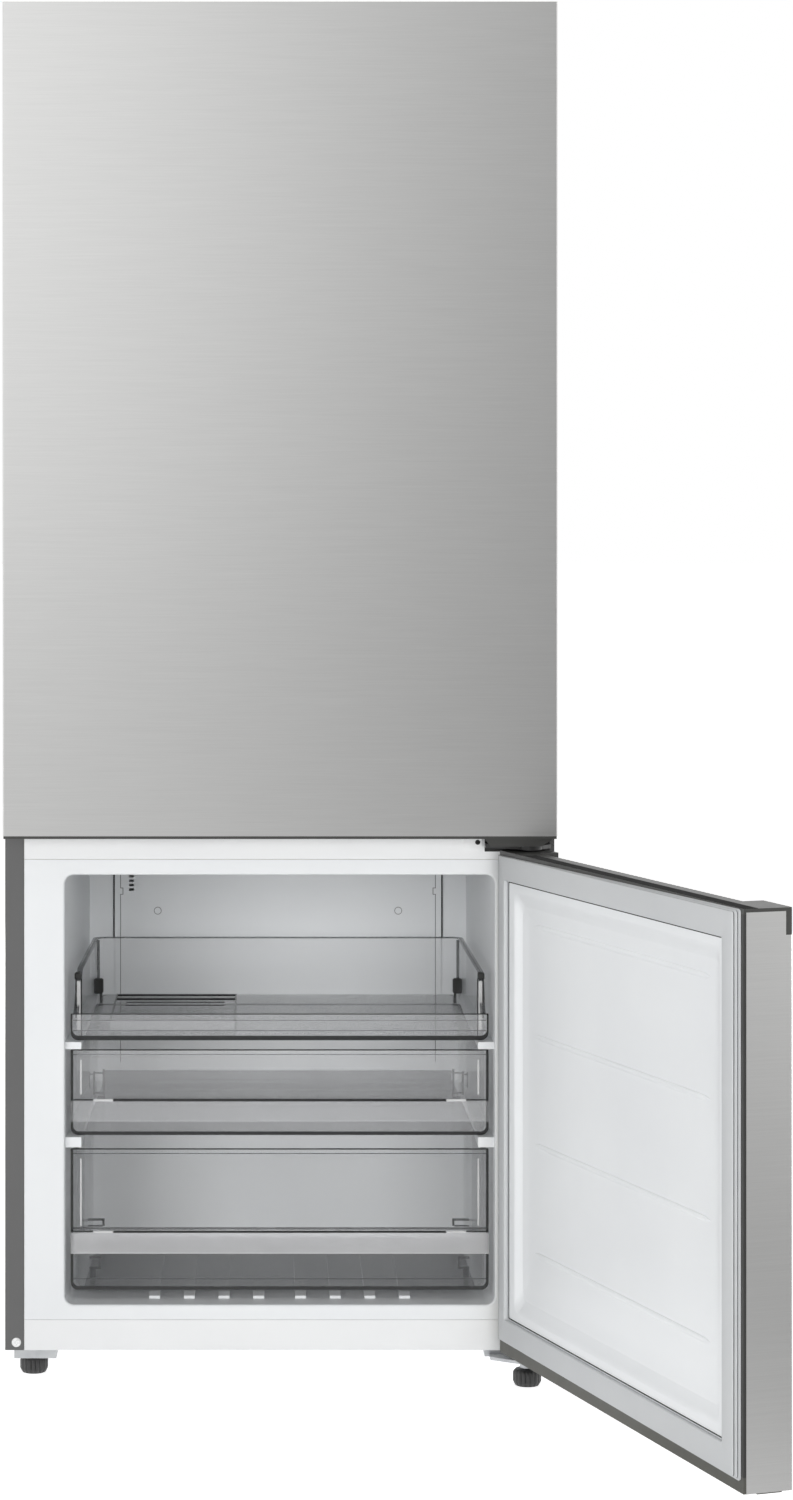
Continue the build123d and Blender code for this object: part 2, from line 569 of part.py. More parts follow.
def foot(x, y, stem_top):
    """Levelling foot: a ribbed pad with a stem that screws up into its bracket."""
    with BuildPart() as piece:
        with BuildSketch(Plane(origin=(CENTRE_X + x, CENTRE_Y + y, 0), x_dir=(1, 0, 0), z_dir=(0, -1, 0))):
            with BuildLine():
                Polyline((0, 0), (FOOT_R - 3, 0), (FOOT_R, 4), (FOOT_R, FOOT_HEIGHT - 2),
                         (FOOT_R - 2, FOOT_HEIGHT), (FOOT_STEM_R, FOOT_HEIGHT), (FOOT_STEM_R, stem_top),
                         (0, stem_top), close=True)
            make_face()
        revolve(axis=Axis((CENTRE_X + x, CENTRE_Y + y, 0), (0, 0, 1)))
    return piece.part


write(foot(-FOOT_X, FOOT_Y, CASE_BOTTOM - 1), "foot_left")
write(foot(FOOT_RIGHT_X, HINGE_Y, LOW_PLATE_Z + 2), "foot_right")

ROLLER_HALF = 7.0
with BuildPart() as roller_brackets:
    for sign in (-1, 1):
        x = sign * ROLLER_X
        for cheek in (-1, 1):
            inner = x + cheek * (ROLLER_HALF + GAP)
            outer = inner + cheek * 2
            block((min(inner, outer), ROLLER_Y - 12, 6), (max(inner, outer), ROLLER_Y + 12, CASE_BOTTOM))
        block((x - ROLLER_HALF - 2, ROLLER_Y - 20, CASE_BOTTOM - 2),
              (x + ROLLER_HALF + 2, ROLLER_Y + 20, CASE_BOTTOM))
        rod_x(ROLLER_Y, ROLLER_R, x - ROLLER_HALF - 3.5, x + ROLLER_HALF + 3.5, 3)
write(roller_brackets.part, "roller_brackets")

for name, sign in (("roller_left", -1), ("roller_right", 1)):
    with BuildPart() as roller:
        rod_x(ROLLER_Y, ROLLER_R, sign * ROLLER_X - ROLLER_HALF, sign * ROLLER_X + ROLLER_HALF, ROLLER_R)
        rod_x(ROLLER_Y, ROLLER_R, sign * ROLLER_X - ROLLER_HALF, sign * ROLLER_X + ROLLER_HALF, 3 + RUNNING,
              mode=Mode.SUBTRACT)
    write(roller.part, name)

# ---------------------------------------------------------------- hinges
FLANGE_BACK = FRONT_Y
FLANGE_THICK = 2.0
PLATE_R = 14.0             # hinge plates are rounded about the pin
with BuildPart() as middle_hinge:
    with BuildSketch(level(MID_PLATE_Z)):
        with BuildLine():
            Polyline((HINGE_IN, FLANGE_BACK), (HINGE_OUT, FLANGE_BACK), (HINGE_OUT, HINGE_Y + 18),
                     (HINGE_X + PLATE_R, HINGE_Y), (HINGE_X - PLATE_R, HINGE_Y),
                     (HINGE_IN, HINGE_Y + 22), close=True)
        make_face()
        with Locations((HINGE_X, HINGE_Y)):
            Circle(PLATE_R)
    extrude(amount=MID_PLATE)
    block((HINGE_IN, FLANGE_BACK - FLANGE_THICK, MID_PLATE_Z - 6.5),
          (HINGE_OUT, FLANGE_BACK, MID_PLATE_Z + 29.5))
    upright(HINGE_X, HINGE_Y, MID_PLATE_Z, UPPER_LOW + 14, PIN_R)
    upright(HINGE_X, HINGE_Y, FREEZER_HIGH - 12, MID_PLATE_Z, PIN_R)
write(middle_hinge.part, "middle_hinge")

with BuildPart() as lower_hinge:
    with BuildSketch(level(LOW_PLATE_Z)):
        with BuildLine():
            Polyline((HINGE_IN + 6, FLANGE_BACK), (HINGE_OUT, FLANGE_BACK), (HINGE_OUT, HINGE_Y + 18),
                     (HINGE_X + PLATE_R, HINGE_Y), (HINGE_X - PLATE_R, HINGE_Y),
                     (HINGE_IN + 6, HINGE_Y + 22), close=True)
        make_face()
        with Locations((HINGE_X, HINGE_Y)):
            Circle(PLATE_R)
    extrude(amount=LOW_PLATE)
    block((HINGE_IN, FLANGE_BACK, LOW_PLATE_Z), (HINGE_OUT, FLANGE_BACK + 50, CASE_BOTTOM))
    upright(FOOT_RIGHT_X, HINGE_Y, FOOT_HEIGHT + 1.5, LOW_PLATE_Z, 9)
    upright(FOOT_RIGHT_X, HINGE_Y, FOOT_HEIGHT, LOW_PLATE_Z + 2.5, FOOT_STEM_R + RUNNING, mode=Mode.SUBTRACT)
    upright(HINGE_X, HINGE_Y, LOW_PLATE_Z + LOW_PLATE, FREEZER_LOW - GAP, 9)
    upright(HINGE_X, HINGE_Y, FREEZER_LOW - GAP, FREEZER_LOW + 14, PIN_R)
write(lower_hinge.part, "lower_hinge")

ARM = 2.0                  # thin arm that reaches over the upper door
ARM_LOW = UPPER_HIGH + GAP
ARM_R = 8.0
RISER_Y = FRONT_Y + 1
RISER_IN = HINGE_X - 23.9
RISER_OUT = HINGE_X + 24.1
with BuildPart() as top_hinge:
    block((HINGE_IN, RISER_Y, CASE_TOP), (HINGE_OUT, RISER_Y + 83.35, CASE_TOP + TOP_PLATE))
    block((RISER_IN, RISER_Y, CASE_TOP), (RISER_OUT, RISER_Y + TOP_PLATE, ARM_LOW + ARM))
    with BuildSketch(level(ARM_LOW)):
        with BuildLine():
            Polyline((HINGE_X - ARM_R, HINGE_Y), (RISER_IN, RISER_Y),
                     (RISER_OUT, RISER_Y), (HINGE_X + ARM_R, HINGE_Y),
                     close=True)
        make_face()
        with Locations((HINGE_X, HINGE_Y)):
            Circle(ARM_R)
    extrude(amount=ARM)
    upright(HINGE_X, HINGE_Y, UPPER_HIGH - 13, ARM_LOW, PIN_R)
write(top_hinge.part, "top_hinge")

HOOD_Y = RISER_Y + 5.35
HOOD_WALL = 2.0
HOOD_RISE = 16.0
with BuildPart() as top_hinge_cover:
    with BuildSketch(level(CASE_TOP)):
        span(HINGE_IN - 10, DOOR_HALF, HOOD_Y, HOOD_Y + 93)
    extrude(amount=HOOD_RISE)
    fillet(top_hinge_cover.edges().group_by(Axis.Z)[-1], 4)
    block((HINGE_IN - 10 + HOOD_WALL, HOOD_Y + HOOD_WALL, CASE_TOP),
          (DOOR_HALF - HOOD_WALL, HOOD_Y + 93 - HOOD_WALL, CASE_TOP + HOOD_RISE - 3), mode=Mode.SUBTRACT)
    block((HINGE_IN - 12, HOOD_Y - 12, CASE_TOP),
          (DOOR_HALF + HOOD_WALL, HOOD_Y + 4, CASE_TOP + TOP_PLATE + GAP),
          mode=Mode.SUBTRACT)
write(top_hinge_cover.part, "top_hinge_cover")

SCREW_HEAD = 4.5
with BuildPart() as hinge_screws:
    for x in (HINGE_IN + 12, HINGE_IN + 34):
        rod_y(x, MID_PLATE_Z + 19.5, FLANGE_BACK - FLANGE_THICK - 2.5, FLANGE_BACK - FLANGE_THICK, SCREW_HEAD)
    for x in (HINGE_IN + 14, HINGE_OUT - 15):
        for y in (HOOD_Y + 28, HOOD_Y + 66):
            upright(x, y, CASE_TOP + TOP_PLATE, CASE_TOP + TOP_PLATE + 3, SCREW_HEAD)
    for x in (HINGE_IN + 18, HINGE_IN + 48):
        upright(x, FLANGE_BACK + 30, LOW_PLATE_Z - 3, LOW_PLATE_Z, SCREW_HEAD)
write(hinge_screws.part, "hinge_screws")

with BuildPart() as cover_screws:
    rod_y(14.3 - CASE_HALF, CASE_BOTTOM + 10, FRONT_Y - 2, FRONT_Y, 6)
    rod_y(PAD_X + 6, PAD_Z, FRONT_Y - PAD_THICK - 2, FRONT_Y - PAD_THICK, 3.2)
write(cover_screws.part, "cover_screws")


# ---------------------------------------------------------------- doors
def swing_room(frame, low, high, reach):
    """All that a door may fill without touching the cabinet as it turns: rounded about the hinge line."""
    with BuildPart() as room:
        with BuildSketch(level(low, frame)):
            span(-DOOR_HALF - 1, HINGE_X, -1, HINGE_Y + reach)
            span(HINGE_X, DOOR_HALF + 1, -1, HINGE_Y)
            with Locations((HINGE_X, HINGE_Y)):
                Circle(reach)
        extrude(amount=high - low)
        # rounded like the sheet at the door's front corners
        with BuildSketch(level(low, frame)) as outline:
            span(-DOOR_HALF, DOOR_HALF, 0, CASE_BACK)
            fillet(outline.vertices().group_by(Axis.Y)[0], SKIN_BEND)
        extrude(amount=high - low, mode=Mode.INTERSECT)
    return room.part


DOOR_REACH = FRONT_Y - HINGE_Y - FLANGE_THICK - GAP      # clears the middle hinge's flange
GASKET_REACH = FRONT_Y - HINGE_Y - GAP
IN = DOOR_HALF - SKIN                                    # inside of the sheet


def door_skin(frame, low, high):
    """Stainless sheet bent round the front and both sides of a door."""
    with BuildPart() as skin:
        with BuildSketch(level(low, frame)) as outline:
            span(-DOOR_HALF, DOOR_HALF, 0, SKIN_DEPTH)
            fillet(outline.vertices().group_by(Axis.Y)[0], SKIN_BEND)
            span(-IN, IN, SKIN, SKIN_DEPTH + 1, mode=Mode.SUBTRACT)
            span(IN - 1, DOOR_HALF + 1, SKIN_HINGE_DEPTH, SKIN_DEPTH + 1, mode=Mode.SUBTRACT)
        extrude(amount=high - low)
    return skin.part


def pin_hole(low, high, frame):
    """Round hole on the hinge line, with a running clearance on the pin."""
    upright(HINGE_X, HINGE_Y, low, high, PIN_R + RUNNING, frame, Mode.SUBTRACT)


FOLD_SIDE = 8.0            # how far the bellows stand out past the seal's face, at the sides
FOLD_END = 4.0
FOLD_DEEP = 3.0


def gasket(frame, low, high, band_side, band_end):
    """Magnetic seal: a flat face on wider folded bellows that press into the door."""
    half = DOOR_HALF - GASKET_INSET
    wide = half + FOLD_SIDE
    with BuildPart() as seal:
        with BuildSketch(facing(GASKET_BACK, frame)):
            span(-half, half, low, high)
        extrude(amount=-(FRONT_Y - GAP - GASKET_BACK))
        with BuildSketch(facing(GASKET_BACK, frame)):
            span(-wide, wide, low - FOLD_END, high + FOLD_END)
        extrude(amount=-FOLD_DEEP)
        # groove between the two folds, all round the outer edge
        with BuildSketch(facing(GASKET_BACK + 1.0, frame)):
            span(-wide - 1, wide + 1, low - FOLD_END - 1, high + FOLD_END + 1)
            span(-half, half, low, high, mode=Mode.SUBTRACT)
        extrude(amount=-1.0, mode=Mode.SUBTRACT)
        with BuildSketch(facing(GASKET_BACK, frame)):
            span(-half + band_side, half - band_side, low + band_end, high - band_end)
        extrude(amount=-(FRONT_Y - GASKET_BACK), mode=Mode.SUBTRACT)
        # by the hinge the bellows stop short, clear of its upright flange
        for z in (low - FOLD_END - 1, high):
            block((HINGE_IN - 6, GASKET_BACK - 1, z), (wide + 1, FRONT_Y, z + FOLD_END + 1), frame,
                  Mode.SUBTRACT)
        add(swing_room(frame, low - FOLD_END, high + FOLD_END, GASKET_REACH), mode=Mode.INTERSECT)
    return seal.part


# ---------------------------------------------------------------- freezer door
F = OPEN_DOOR
GRIP = 30.0                # height of the plastic grip along the door's top
GRIP_DEPTH = 8.0
CAP_TOP = 4.0              # top cap's plate, over the ends of the sheet
SCOOP_LEFT = -DOOR_HALF + 70
SCOOP_RIGHT = DOOR_HALF - 64.0
SCOOP_BACK = 24.0
FREEZER_GASKET_LOW = FREEZER_LOW + 17.9
FREEZER_GASKET_HIGH = FREEZER_HIGH - 6.0
BAND_SIDE = 24.4
BAND_END = 29.3

with BuildPart() as freezer_door_skin:
    add(door_skin(F, FREEZER_LOW, FREEZER_HIGH - CAP_TOP))
    block((-DOOR_HALF - 1, -1, FREEZER_HIGH - GRIP),
          (DOOR_HALF + 1, GRIP_DEPTH, FREEZER_HIGH), F, Mode.SUBTRACT)
write(freezer_door_skin.part, "freezer_door_skin")

FOAM_TOP = FREEZER_HIGH - GRIP - 12
with BuildPart() as freezer_door_top_cap:
    block((-IN, SKIN, FOAM_TOP), (IN, FRAME_BACK, FREEZER_HIGH - CAP_TOP), F)
    block((-IN, FRAME_BACK, FREEZER_GASKET_HIGH), (IN, GASKET_BACK, FREEZER_HIGH - CAP_TOP), F)
    block((-DOOR_HALF, 0, FREEZER_HIGH - GRIP), (DOOR_HALF, GRIP_DEPTH, FREEZER_HIGH - CAP_TOP), F)
    block((-DOOR_HALF, 0, FREEZER_HIGH - CAP_TOP), (DOOR_HALF, GASKET_BACK, FREEZER_HIGH), F)
    # hollow of the moulding, open downwards against the insulation
    block((-IN + 3, GRIP_DEPTH, FOAM_TOP - 1),
          (HINGE_X - 16, FRAME_BACK - 3, FREEZER_HIGH - GRIP), F, Mode.SUBTRACT)
    # finger scoop: a slope cut from the grip's lower front edge back to the top
    with BuildSketch(side(SCOOP_LEFT, F)):
        with BuildLine():
            Polyline((-1, FREEZER_HIGH - GRIP + 3), (4, FREEZER_HIGH - GRIP + 3),
                     (SCOOP_BACK, FREEZER_HIGH - 3), (SCOOP_BACK + 2, FREEZER_HIGH + 1),
                     (-1, FREEZER_HIGH + 1), close=True)
        make_face()
    extrude(amount=SCOOP_RIGHT - SCOOP_LEFT, mode=Mode.SUBTRACT)
    pin_hole(FREEZER_HIGH - 14, FREEZER_HIGH + 1, F)
    add(swing_room(F, FOAM_TOP, FREEZER_HIGH, DOOR_REACH), mode=Mode.INTERSECT)
write(freezer_door_top_cap.part, "freezer_door_top_cap")

with BuildPart() as freezer_door_bottom_cap:
    block((-IN, SKIN, FREEZER_LOW), (IN, GASKET_BACK, FREEZER_GASKET_LOW), F)
    block((-IN + 3, SKIN + 3, FREEZER_LOW + 14), (HINGE_X - 16, FRAME_BACK - 3, FREEZER_GASKET_LOW + 1), F,
          Mode.SUBTRACT)
    for x in (-DOOR_HALF + 12, -DOOR_HALF + 60):
        block((x - 6, 10, FREEZER_LOW - 3), (x + 6, 40, FREEZER_LOW), F)
    pin_hole(FREEZER_LOW - 1, FREEZER_LOW + 15, F)
    add(swing_room(F, FREEZER_LOW - 3, FREEZER_GASKET_LOW, DOOR_REACH), mode=Mode.INTERSECT)
write(freezer_door_bottom_cap.part, "freezer_door_bottom_cap")

RING_X = DOOR_HALF - 28.0
RING_LOW = FREEZER_GASKET_LOW + 17.5
RING_HIGH = FREEZER_GASKET_HIGH - 16.8
with BuildPart() as freezer_door_frame:
    with BuildSketch(facing(FRAME_BACK, F)):
        span(-IN, IN, FREEZER_GASKET_LOW, FREEZER_GASKET_HIGH)
        span(-RING_X, RING_X, RING_LOW, RING_HIGH, mode=Mode.SUBTRACT)
    extrude(amount=-(GASKET_BACK - FRAME_BACK))
    add(swing_room(F, FREEZER_GASKET_LOW, FREEZER_GASKET_HIGH, DOOR_REACH), mode=Mode.INTERSECT)
write(freezer_door_frame.part, "freezer_door_frame")

DISH_HALF = DOOR_HALF - 60.0
DISH_LOW = RING_LOW + 27.0
DISH_HIGH = RING_HIGH - 27.0
DISH_DEPTH = 10.0
with BuildPart() as freezer_door_liner:
    with BuildSketch(facing(GASKET_BACK, F)):
        span(-RING_X, RING_X, RING_LOW, RING_HIGH)
    extrude(amount=GASKET_BACK - FRAME_BACK)
    with BuildSketch(facing(GASKET_BACK, F)):
        with Locations((0, (DISH_LOW + DISH_HIGH) / 2)):
            RectangleRounded(2 * DISH_HALF + 4, DISH_HIGH - DISH_LOW + 4, 18)
    extrude(amount=DISH_DEPTH + LINER_WALL)
    with BuildSketch(facing(GASKET_BACK, F)):
        with Locations((0, (DISH_LOW + DISH_HIGH) / 2)):
            RectangleRounded(2 * DISH_HALF, DISH_HIGH - DISH_LOW, 16)
    extrude(amount=DISH_DEPTH, taper=40, mode=Mode.SUBTRACT)
    for row in range(4):
        z = DISH_LOW + (0.15 + row * 0.248) * (DISH_HIGH - DISH_LOW)
        deep = GASKET_BACK - DISH_DEPTH
        block((-DISH_HALF + 30, deep, z - 2), (DISH_HALF - 14, deep + 1, z + 2), F)
write(freezer_door_liner.part, "freezer_door_liner")

with BuildPart() as freezer_door_insulation:
    block((-IN, SKIN, FREEZER_GASKET_LOW), (IN, FRAME_BACK, FOAM_TOP), F)
    with BuildSketch(facing(FRAME_BACK, F)):
        with Locations((0, (DISH_LOW + DISH_HIGH) / 2)):
            RectangleRounded(2 * DISH_HALF + 4, DISH_HIGH - DISH_LOW + 4, 18)
    extrude(amount=DISH_DEPTH + LINER_WALL - (GASKET_BACK - FRAME_BACK), mode=Mode.SUBTRACT)
    add(swing_room(F, FREEZER_GASKET_LOW, FOAM_TOP, DOOR_REACH), mode=Mode.INTERSECT)
write(freezer_door_insulation.part, "freezer_door_insulation")

write(gasket(F, FREEZER_GASKET_LOW, FREEZER_GASKET_HIGH, BAND_SIDE, BAND_END), "freezer_door_gasket")

# ---------------------------------------------------------------- upper door
U = CABINET
SHEET_LOW = UPPER_LOW + 3.5              # the bottom cap shows as a dark line under the sheet
UPPER_GASKET_LOW = UPPER_LOW + GASKET_INSET
UPPER_GASKET_HIGH = UPPER_HIGH - 26.0
UPPER_CAP_LOW = UPPER_HIGH - 26.0

write(door_skin(U, SHEET_LOW, UPPER_HIGH), "upper_door_skin")

with BuildPart() as upper_door_top_cap:
    block((-IN, SKIN, UPPER_CAP_LOW), (IN, GASKET_BACK, UPPER_HIGH - 2))
    block((-IN + 4, SKIN + 4, UPPER_CAP_LOW - 1),
          (HINGE_X - 68, FRAME_BACK - 4, UPPER_HIGH - 6), mode=Mode.SUBTRACT)
    pin_hole(UPPER_HIGH - 14, UPPER_HIGH, U)
    add(swing_room(U, UPPER_CAP_LOW, UPPER_HIGH, DOOR_REACH), mode=Mode.INTERSECT)
write(upper_door_top_cap.part, "upper_door_top_cap")

BOSS_LOW = MID_PLATE_Z + MID_PLATE + GAP
with BuildPart() as upper_door_bottom_cap:
    block((-DOOR_HALF + 1, 1, UPPER_LOW), (DOOR_HALF - 1, GASKET_BACK, SHEET_LOW))
    block((-IN, SKIN, SHEET_LOW), (IN, GASKET_BACK, UPPER_GASKET_LOW))
    block((-IN + 4, SKIN + 4, UPPER_LOW + 4), (HINGE_X - 20, FRAME_BACK - 4, UPPER_GASKET_LOW + 1),
          mode=Mode.SUBTRACT)
    with BuildSketch(facing(HINGE_Y - 16)):
        with BuildLine():
            Polyline((HINGE_IN - 4, UPPER_LOW), (HINGE_IN + 4, BOSS_LOW),
                     (HINGE_X + 12, BOSS_LOW), (HINGE_X + 28, UPPER_LOW),
                     close=True)
        make_face()
    extrude(amount=-34)
    pin_hole(BOSS_LOW - 1, UPPER_LOW + 15, U)
    add(swing_room(U, BOSS_LOW, UPPER_GASKET_LOW, DOOR_REACH), mode=Mode.INTERSECT)
write(upper_door_bottom_cap.part, "upper_door_bottom_cap")

PLUG_HALF = FRIDGE_HALF - 23.0
PLUG_LOW = FRIDGE_FLOOR + 15.0
PLUG_HIGH = FRIDGE_CEILING - 14.0
DYKE = 34.0                # raised sides that carry the door bins
DYKE_BACK = GASKET_BACK + 45.0
with BuildPart() as upper_door_liner:
    block((-IN, FRAME_BACK, UPPER_GASKET_LOW), (IN, GASKET_BACK, UPPER_CAP_LOW))
    for sign in (-1, 1):
        outer = sign * PLUG_HALF
        inner = sign * (PLUG_HALF - DYKE)
        block((min(outer, inner), FRAME_BACK, PLUG_LOW), (max(outer, inner), DYKE_BACK, PLUG_HIGH))
        core_out = sign * (PLUG_HALF - LINER_WALL)
        core_in = sign * (PLUG_HALF - DYKE + LINER_WALL)
        block((min(core_out, core_in), FRAME_BACK - 1, PLUG_LOW + LINER_WALL),
              (max(core_out, core_in), DYKE_BACK - LINER_WALL, PLUG_HIGH - LINER_WALL), mode=Mode.SUBTRACT)
    add(swing_room(U, UPPER_GASKET_LOW, UPPER_CAP_LOW, 600), mode=Mode.INTERSECT)
    with BuildSketch(level(UPPER_GASKET_LOW)) as corner:
        span(HINGE_X, DOOR_HALF + 1, HINGE_Y, HINGE_Y + DOOR_REACH + 1)
        with Locations((HINGE_X, HINGE_Y)):
            Circle(DOOR_REACH, mode=Mode.SUBTRACT)
    extrude(amount=UPPER_CAP_LOW - UPPER_GASKET_LOW, mode=Mode.SUBTRACT)
write(upper_door_liner.part, "upper_door_liner")

with BuildPart() as upper_door_insulation:
    block((-IN, SKIN, UPPER_GASKET_LOW), (IN, FRAME_BACK, UPPER_CAP_LOW))
    add(swing_room(U, UPPER_GASKET_LOW, UPPER_CAP_LOW, DOOR_REACH), mode=Mode.INTERSECT)
write(upper_door_insulation.part, "upper_door_insulation")

write(gasket(U, UPPER_GASKET_LOW, UPPER_GASKET_HIGH, BAND_SIDE, BAND_END), "upper_door_gasket")

BIN_BACK = GASKET_BACK + 131.0
BIN_HALF = PLUG_HALF - DYKE
BINS = {"door_bin_upper": (PLUG_HIGH - 378, PLUG_HIGH - 278),
        "door_bin_lower": (PLUG_LOW + 38, PLUG_LOW + 178)}
for name, (low, high) in BINS.items():
    with BuildPart() as door_bin:
        with BuildSketch(level(low)):
            span(-BIN_HALF, BIN_HALF, GASKET_BACK, BIN_BACK)
        extrude(amount=high - low)
        with BuildSketch(level(low + DRAWER_WALL)):
            span(-BIN_HALF + DRAWER_WALL, BIN_HALF - DRAWER_WALL,
                 GASKET_BACK + DRAWER_WALL, BIN_BACK - DRAWER_WALL)
        extrude(amount=high - low, mode=Mode.SUBTRACT)
    write(door_bin.part, name)

# ---------------------------------------------------------------- inside the fridge
for name, top in SHELF_TOPS.items():
    with BuildPart() as shelf:
        with BuildSketch(level(top - GLASS)):
            span(-FRIDGE_HALF + GAP, FRIDGE_HALF - GAP, SHELF_FRONT, SHELF_BACK)
        extrude(amount=GLASS)
    write(shelf.part, name)

DUCT_HALF = 100.0
DUCT_FRONT = FRIDGE_BACK - 20.0
with BuildPart() as air_duct:
    with BuildSketch(level(FRIDGE_FLOOR + 250)):
        span(-DUCT_HALF, DUCT_HALF, DUCT_FRONT, FRIDGE_BACK)
        span(-DUCT_HALF + 3, DUCT_HALF - 3, DUCT_FRONT + 3, FRIDGE_BACK + 1, mode=Mode.SUBTRACT)
    extrude(amount=FRIDGE_CEILING - FRIDGE_FLOOR - 290)
    with BuildSketch(facing(DUCT_FRONT - 1)):
        with Locations((0, (FRIDGE_FLOOR + FRIDGE_CEILING) / 2 + 95.5)):
            with GridLocations(110, 150, 2, 4):
                SlotOverall(50, 14)
    extrude(amount=-5, mode=Mode.SUBTRACT)
write(air_duct.part, "air_duct")


# ---------------------------------------------------------------- drawers
def tub(front_half, back_half, front, back, low, high, wall=DRAWER_WALL):
    """Open-topped tub that narrows towards the back."""
    slope = (front_half - back_half) / (back - front)
    with BuildPart() as piece:
        with BuildSketch(level(low)):
            with BuildLine():
                Polyline((-front_half, front), (front_half, front),
                         (back_half, back), (-back_half, back), close=True)
            make_face()
        extrude(amount=high - low)
        with BuildSketch(level(low + wall)):
            with BuildLine():
                Polyline((-front_half + wall, front + wall), (front_half - wall, front + wall),
                         (back_half - wall + slope * wall, back - wall),
                         (-back_half + wall - slope * wall, back - wall),
                         close=True)
            make_face()
        extrude(amount=high - low, mode=Mode.SUBTRACT)
    return piece.part


CRISPER_HIGH = FRIDGE_FLOOR + 215.0
CRISPER_HALF = FRIDGE_HALF - FRIDGE_CORNER - 1
write(tub(CRISPER_HALF, CRISPER_HALF - 2, SHELF_FRONT, SHELF_BACK - 10,
          FRIDGE_FLOOR + GAP, CRISPER_HIGH, 3.0),
      "crisper_drawer")

PANEL = 3.0                # thickness of a drawer's front
BAND = 5.0                 # grab band that stands out from it
CORNER = 10.0


def drawer_front(low, high):
    """Flat front with its lower corners rounded."""
    with BuildPart() as piece:
        with BuildSketch(facing(DRAWER_FRONT)) as outline:
            span(-DRAWER_FRONT_HALF, DRAWER_FRONT_HALF, low, high)
            fillet(outline.vertices().group_by(Axis.Y)[0], CORNER)
        extrude(amount=-PANEL)
    return piece.part


def grab_band(low, high):
    """Strip that stands out of a drawer's front, undercut behind its upper edge for the fingers."""
    with BuildPart() as piece:
        with BuildSketch(side(-DRAWER_FRONT_HALF)):
            span(DRAWER_FRONT - BAND, DRAWER_FRONT - BAND + 2, low, high)
            span(DRAWER_FRONT - BAND, DRAWER_FRONT, low, low + 2)
        extrude(amount=2 * DRAWER_FRONT_HALF)
    return piece.part


TRAY_LOW = LEDGE_HIGH + GAP
TRAY_HIGH = LEDGE_HIGH + 82.2
TRAY_FRONT_HIGH = LEDGE_HIGH + 34.2
DRAWER_BACK = FREEZER_BACK - 19.0
with BuildPart() as top_tray:
    add(tub(DRAWER_HALF, DRAWER_HALF - 7, DRAWER_FRONT + PANEL - DRAWER_WALL, DRAWER_BACK,
            TRAY_LOW, TRAY_HIGH))
    with BuildSketch(side(-DRAWER_FRONT_HALF - 5)):
        with BuildLine():
            Polyline((DRAWER_FRONT - 10, TRAY_FRONT_HIGH), (DRAWER_FRONT + 12, TRAY_FRONT_HIGH),
                     (DRAWER_FRONT + 20, TRAY_HIGH - 14), (DRAWER_FRONT + 44, TRAY_HIGH),
                     (DRAWER_FRONT + 44, TRAY_HIGH + 5), (DRAWER_FRONT - 10, TRAY_HIGH + 5), close=True)
        make_face()
    extrude(amount=2 * DRAWER_FRONT_HALF + 10, mode=Mode.SUBTRACT)
    add(drawer_front(TRAY_LOW, TRAY_FRONT_HIGH))
write(top_tray.part, "top_tray")

ICE_LEFT = 41.0 - DRAWER_HALF
ICE_RIGHT = ICE_LEFT + 165.0
ICE_FRONT = DRAWER_FRONT + 55.0
ICE_BACK = ICE_FRONT + 248.0
ICE_LOW = TRAY_LOW + DRAWER_WALL
ICE_WALL = 2.0
ICE_BAR = 12.0
with BuildPart() as ice_tray:
    with BuildSketch(level(ICE_LOW)):
        span(ICE_LEFT, ICE_RIGHT, ICE_FRONT, ICE_BACK)
    extrude(amount=14)
    with BuildSketch(level(ICE_LOW + ICE_WALL)):
        span(ICE_LEFT + ICE_WALL, ICE_RIGHT - ICE_WALL, ICE_FRONT + ICE_WALL, ICE_BACK - ICE_BAR)
    extrude(amount=14, mode=Mode.SUBTRACT)
write(ice_tray.part, "ice_tray")

MIDDLE_LOW = LEDGE_LOW + GAP
MIDDLE_HIGH = LEDGE_HIGH - LEDGE_HIGH_THICK - 2.9
with BuildPart() as middle_drawer:
    add(tub(DRAWER_HALF, DRAWER_HALF - 7, DRAWER_FRONT + PANEL - DRAWER_WALL, DRAWER_BACK,
            MIDDLE_LOW, MIDDLE_HIGH))
    add(drawer_front(MIDDLE_LOW, MIDDLE_HIGH))
    add(grab_band(MIDDLE_LOW + 17.6, MIDDLE_LOW + 44.7))
write(middle_drawer.part, "middle_drawer")

BOTTOM_HIGH = LEDGE_LOW - LEDGE_LOW_THICK - 4.6
BOTTOM_BACK = STEP_Y - 12.0
with BuildPart() as bottom_drawer:
    add(tub(DRAWER_HALF - 1, DRAWER_HALF - 5, DRAWER_FRONT + PANEL - DRAWER_WALL, BOTTOM_BACK,
            BOTTOM_LOW, BOTTOM_HIGH))
    add(drawer_front(BOTTOM_LOW, BOTTOM_HIGH))
    add(grab_band(BOTTOM_LOW + 46.9, BOTTOM_LOW + 74.6))
write(bottom_drawer.part, "bottom_drawer")
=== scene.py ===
"""Bottom freezer refrigerator in brushed steel: its looks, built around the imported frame.

Places are metres. A cabinet place counts x from the cabinet's middle, y from the upper door's face
and z from the floor, as the part's own drawing does.
"""
import json

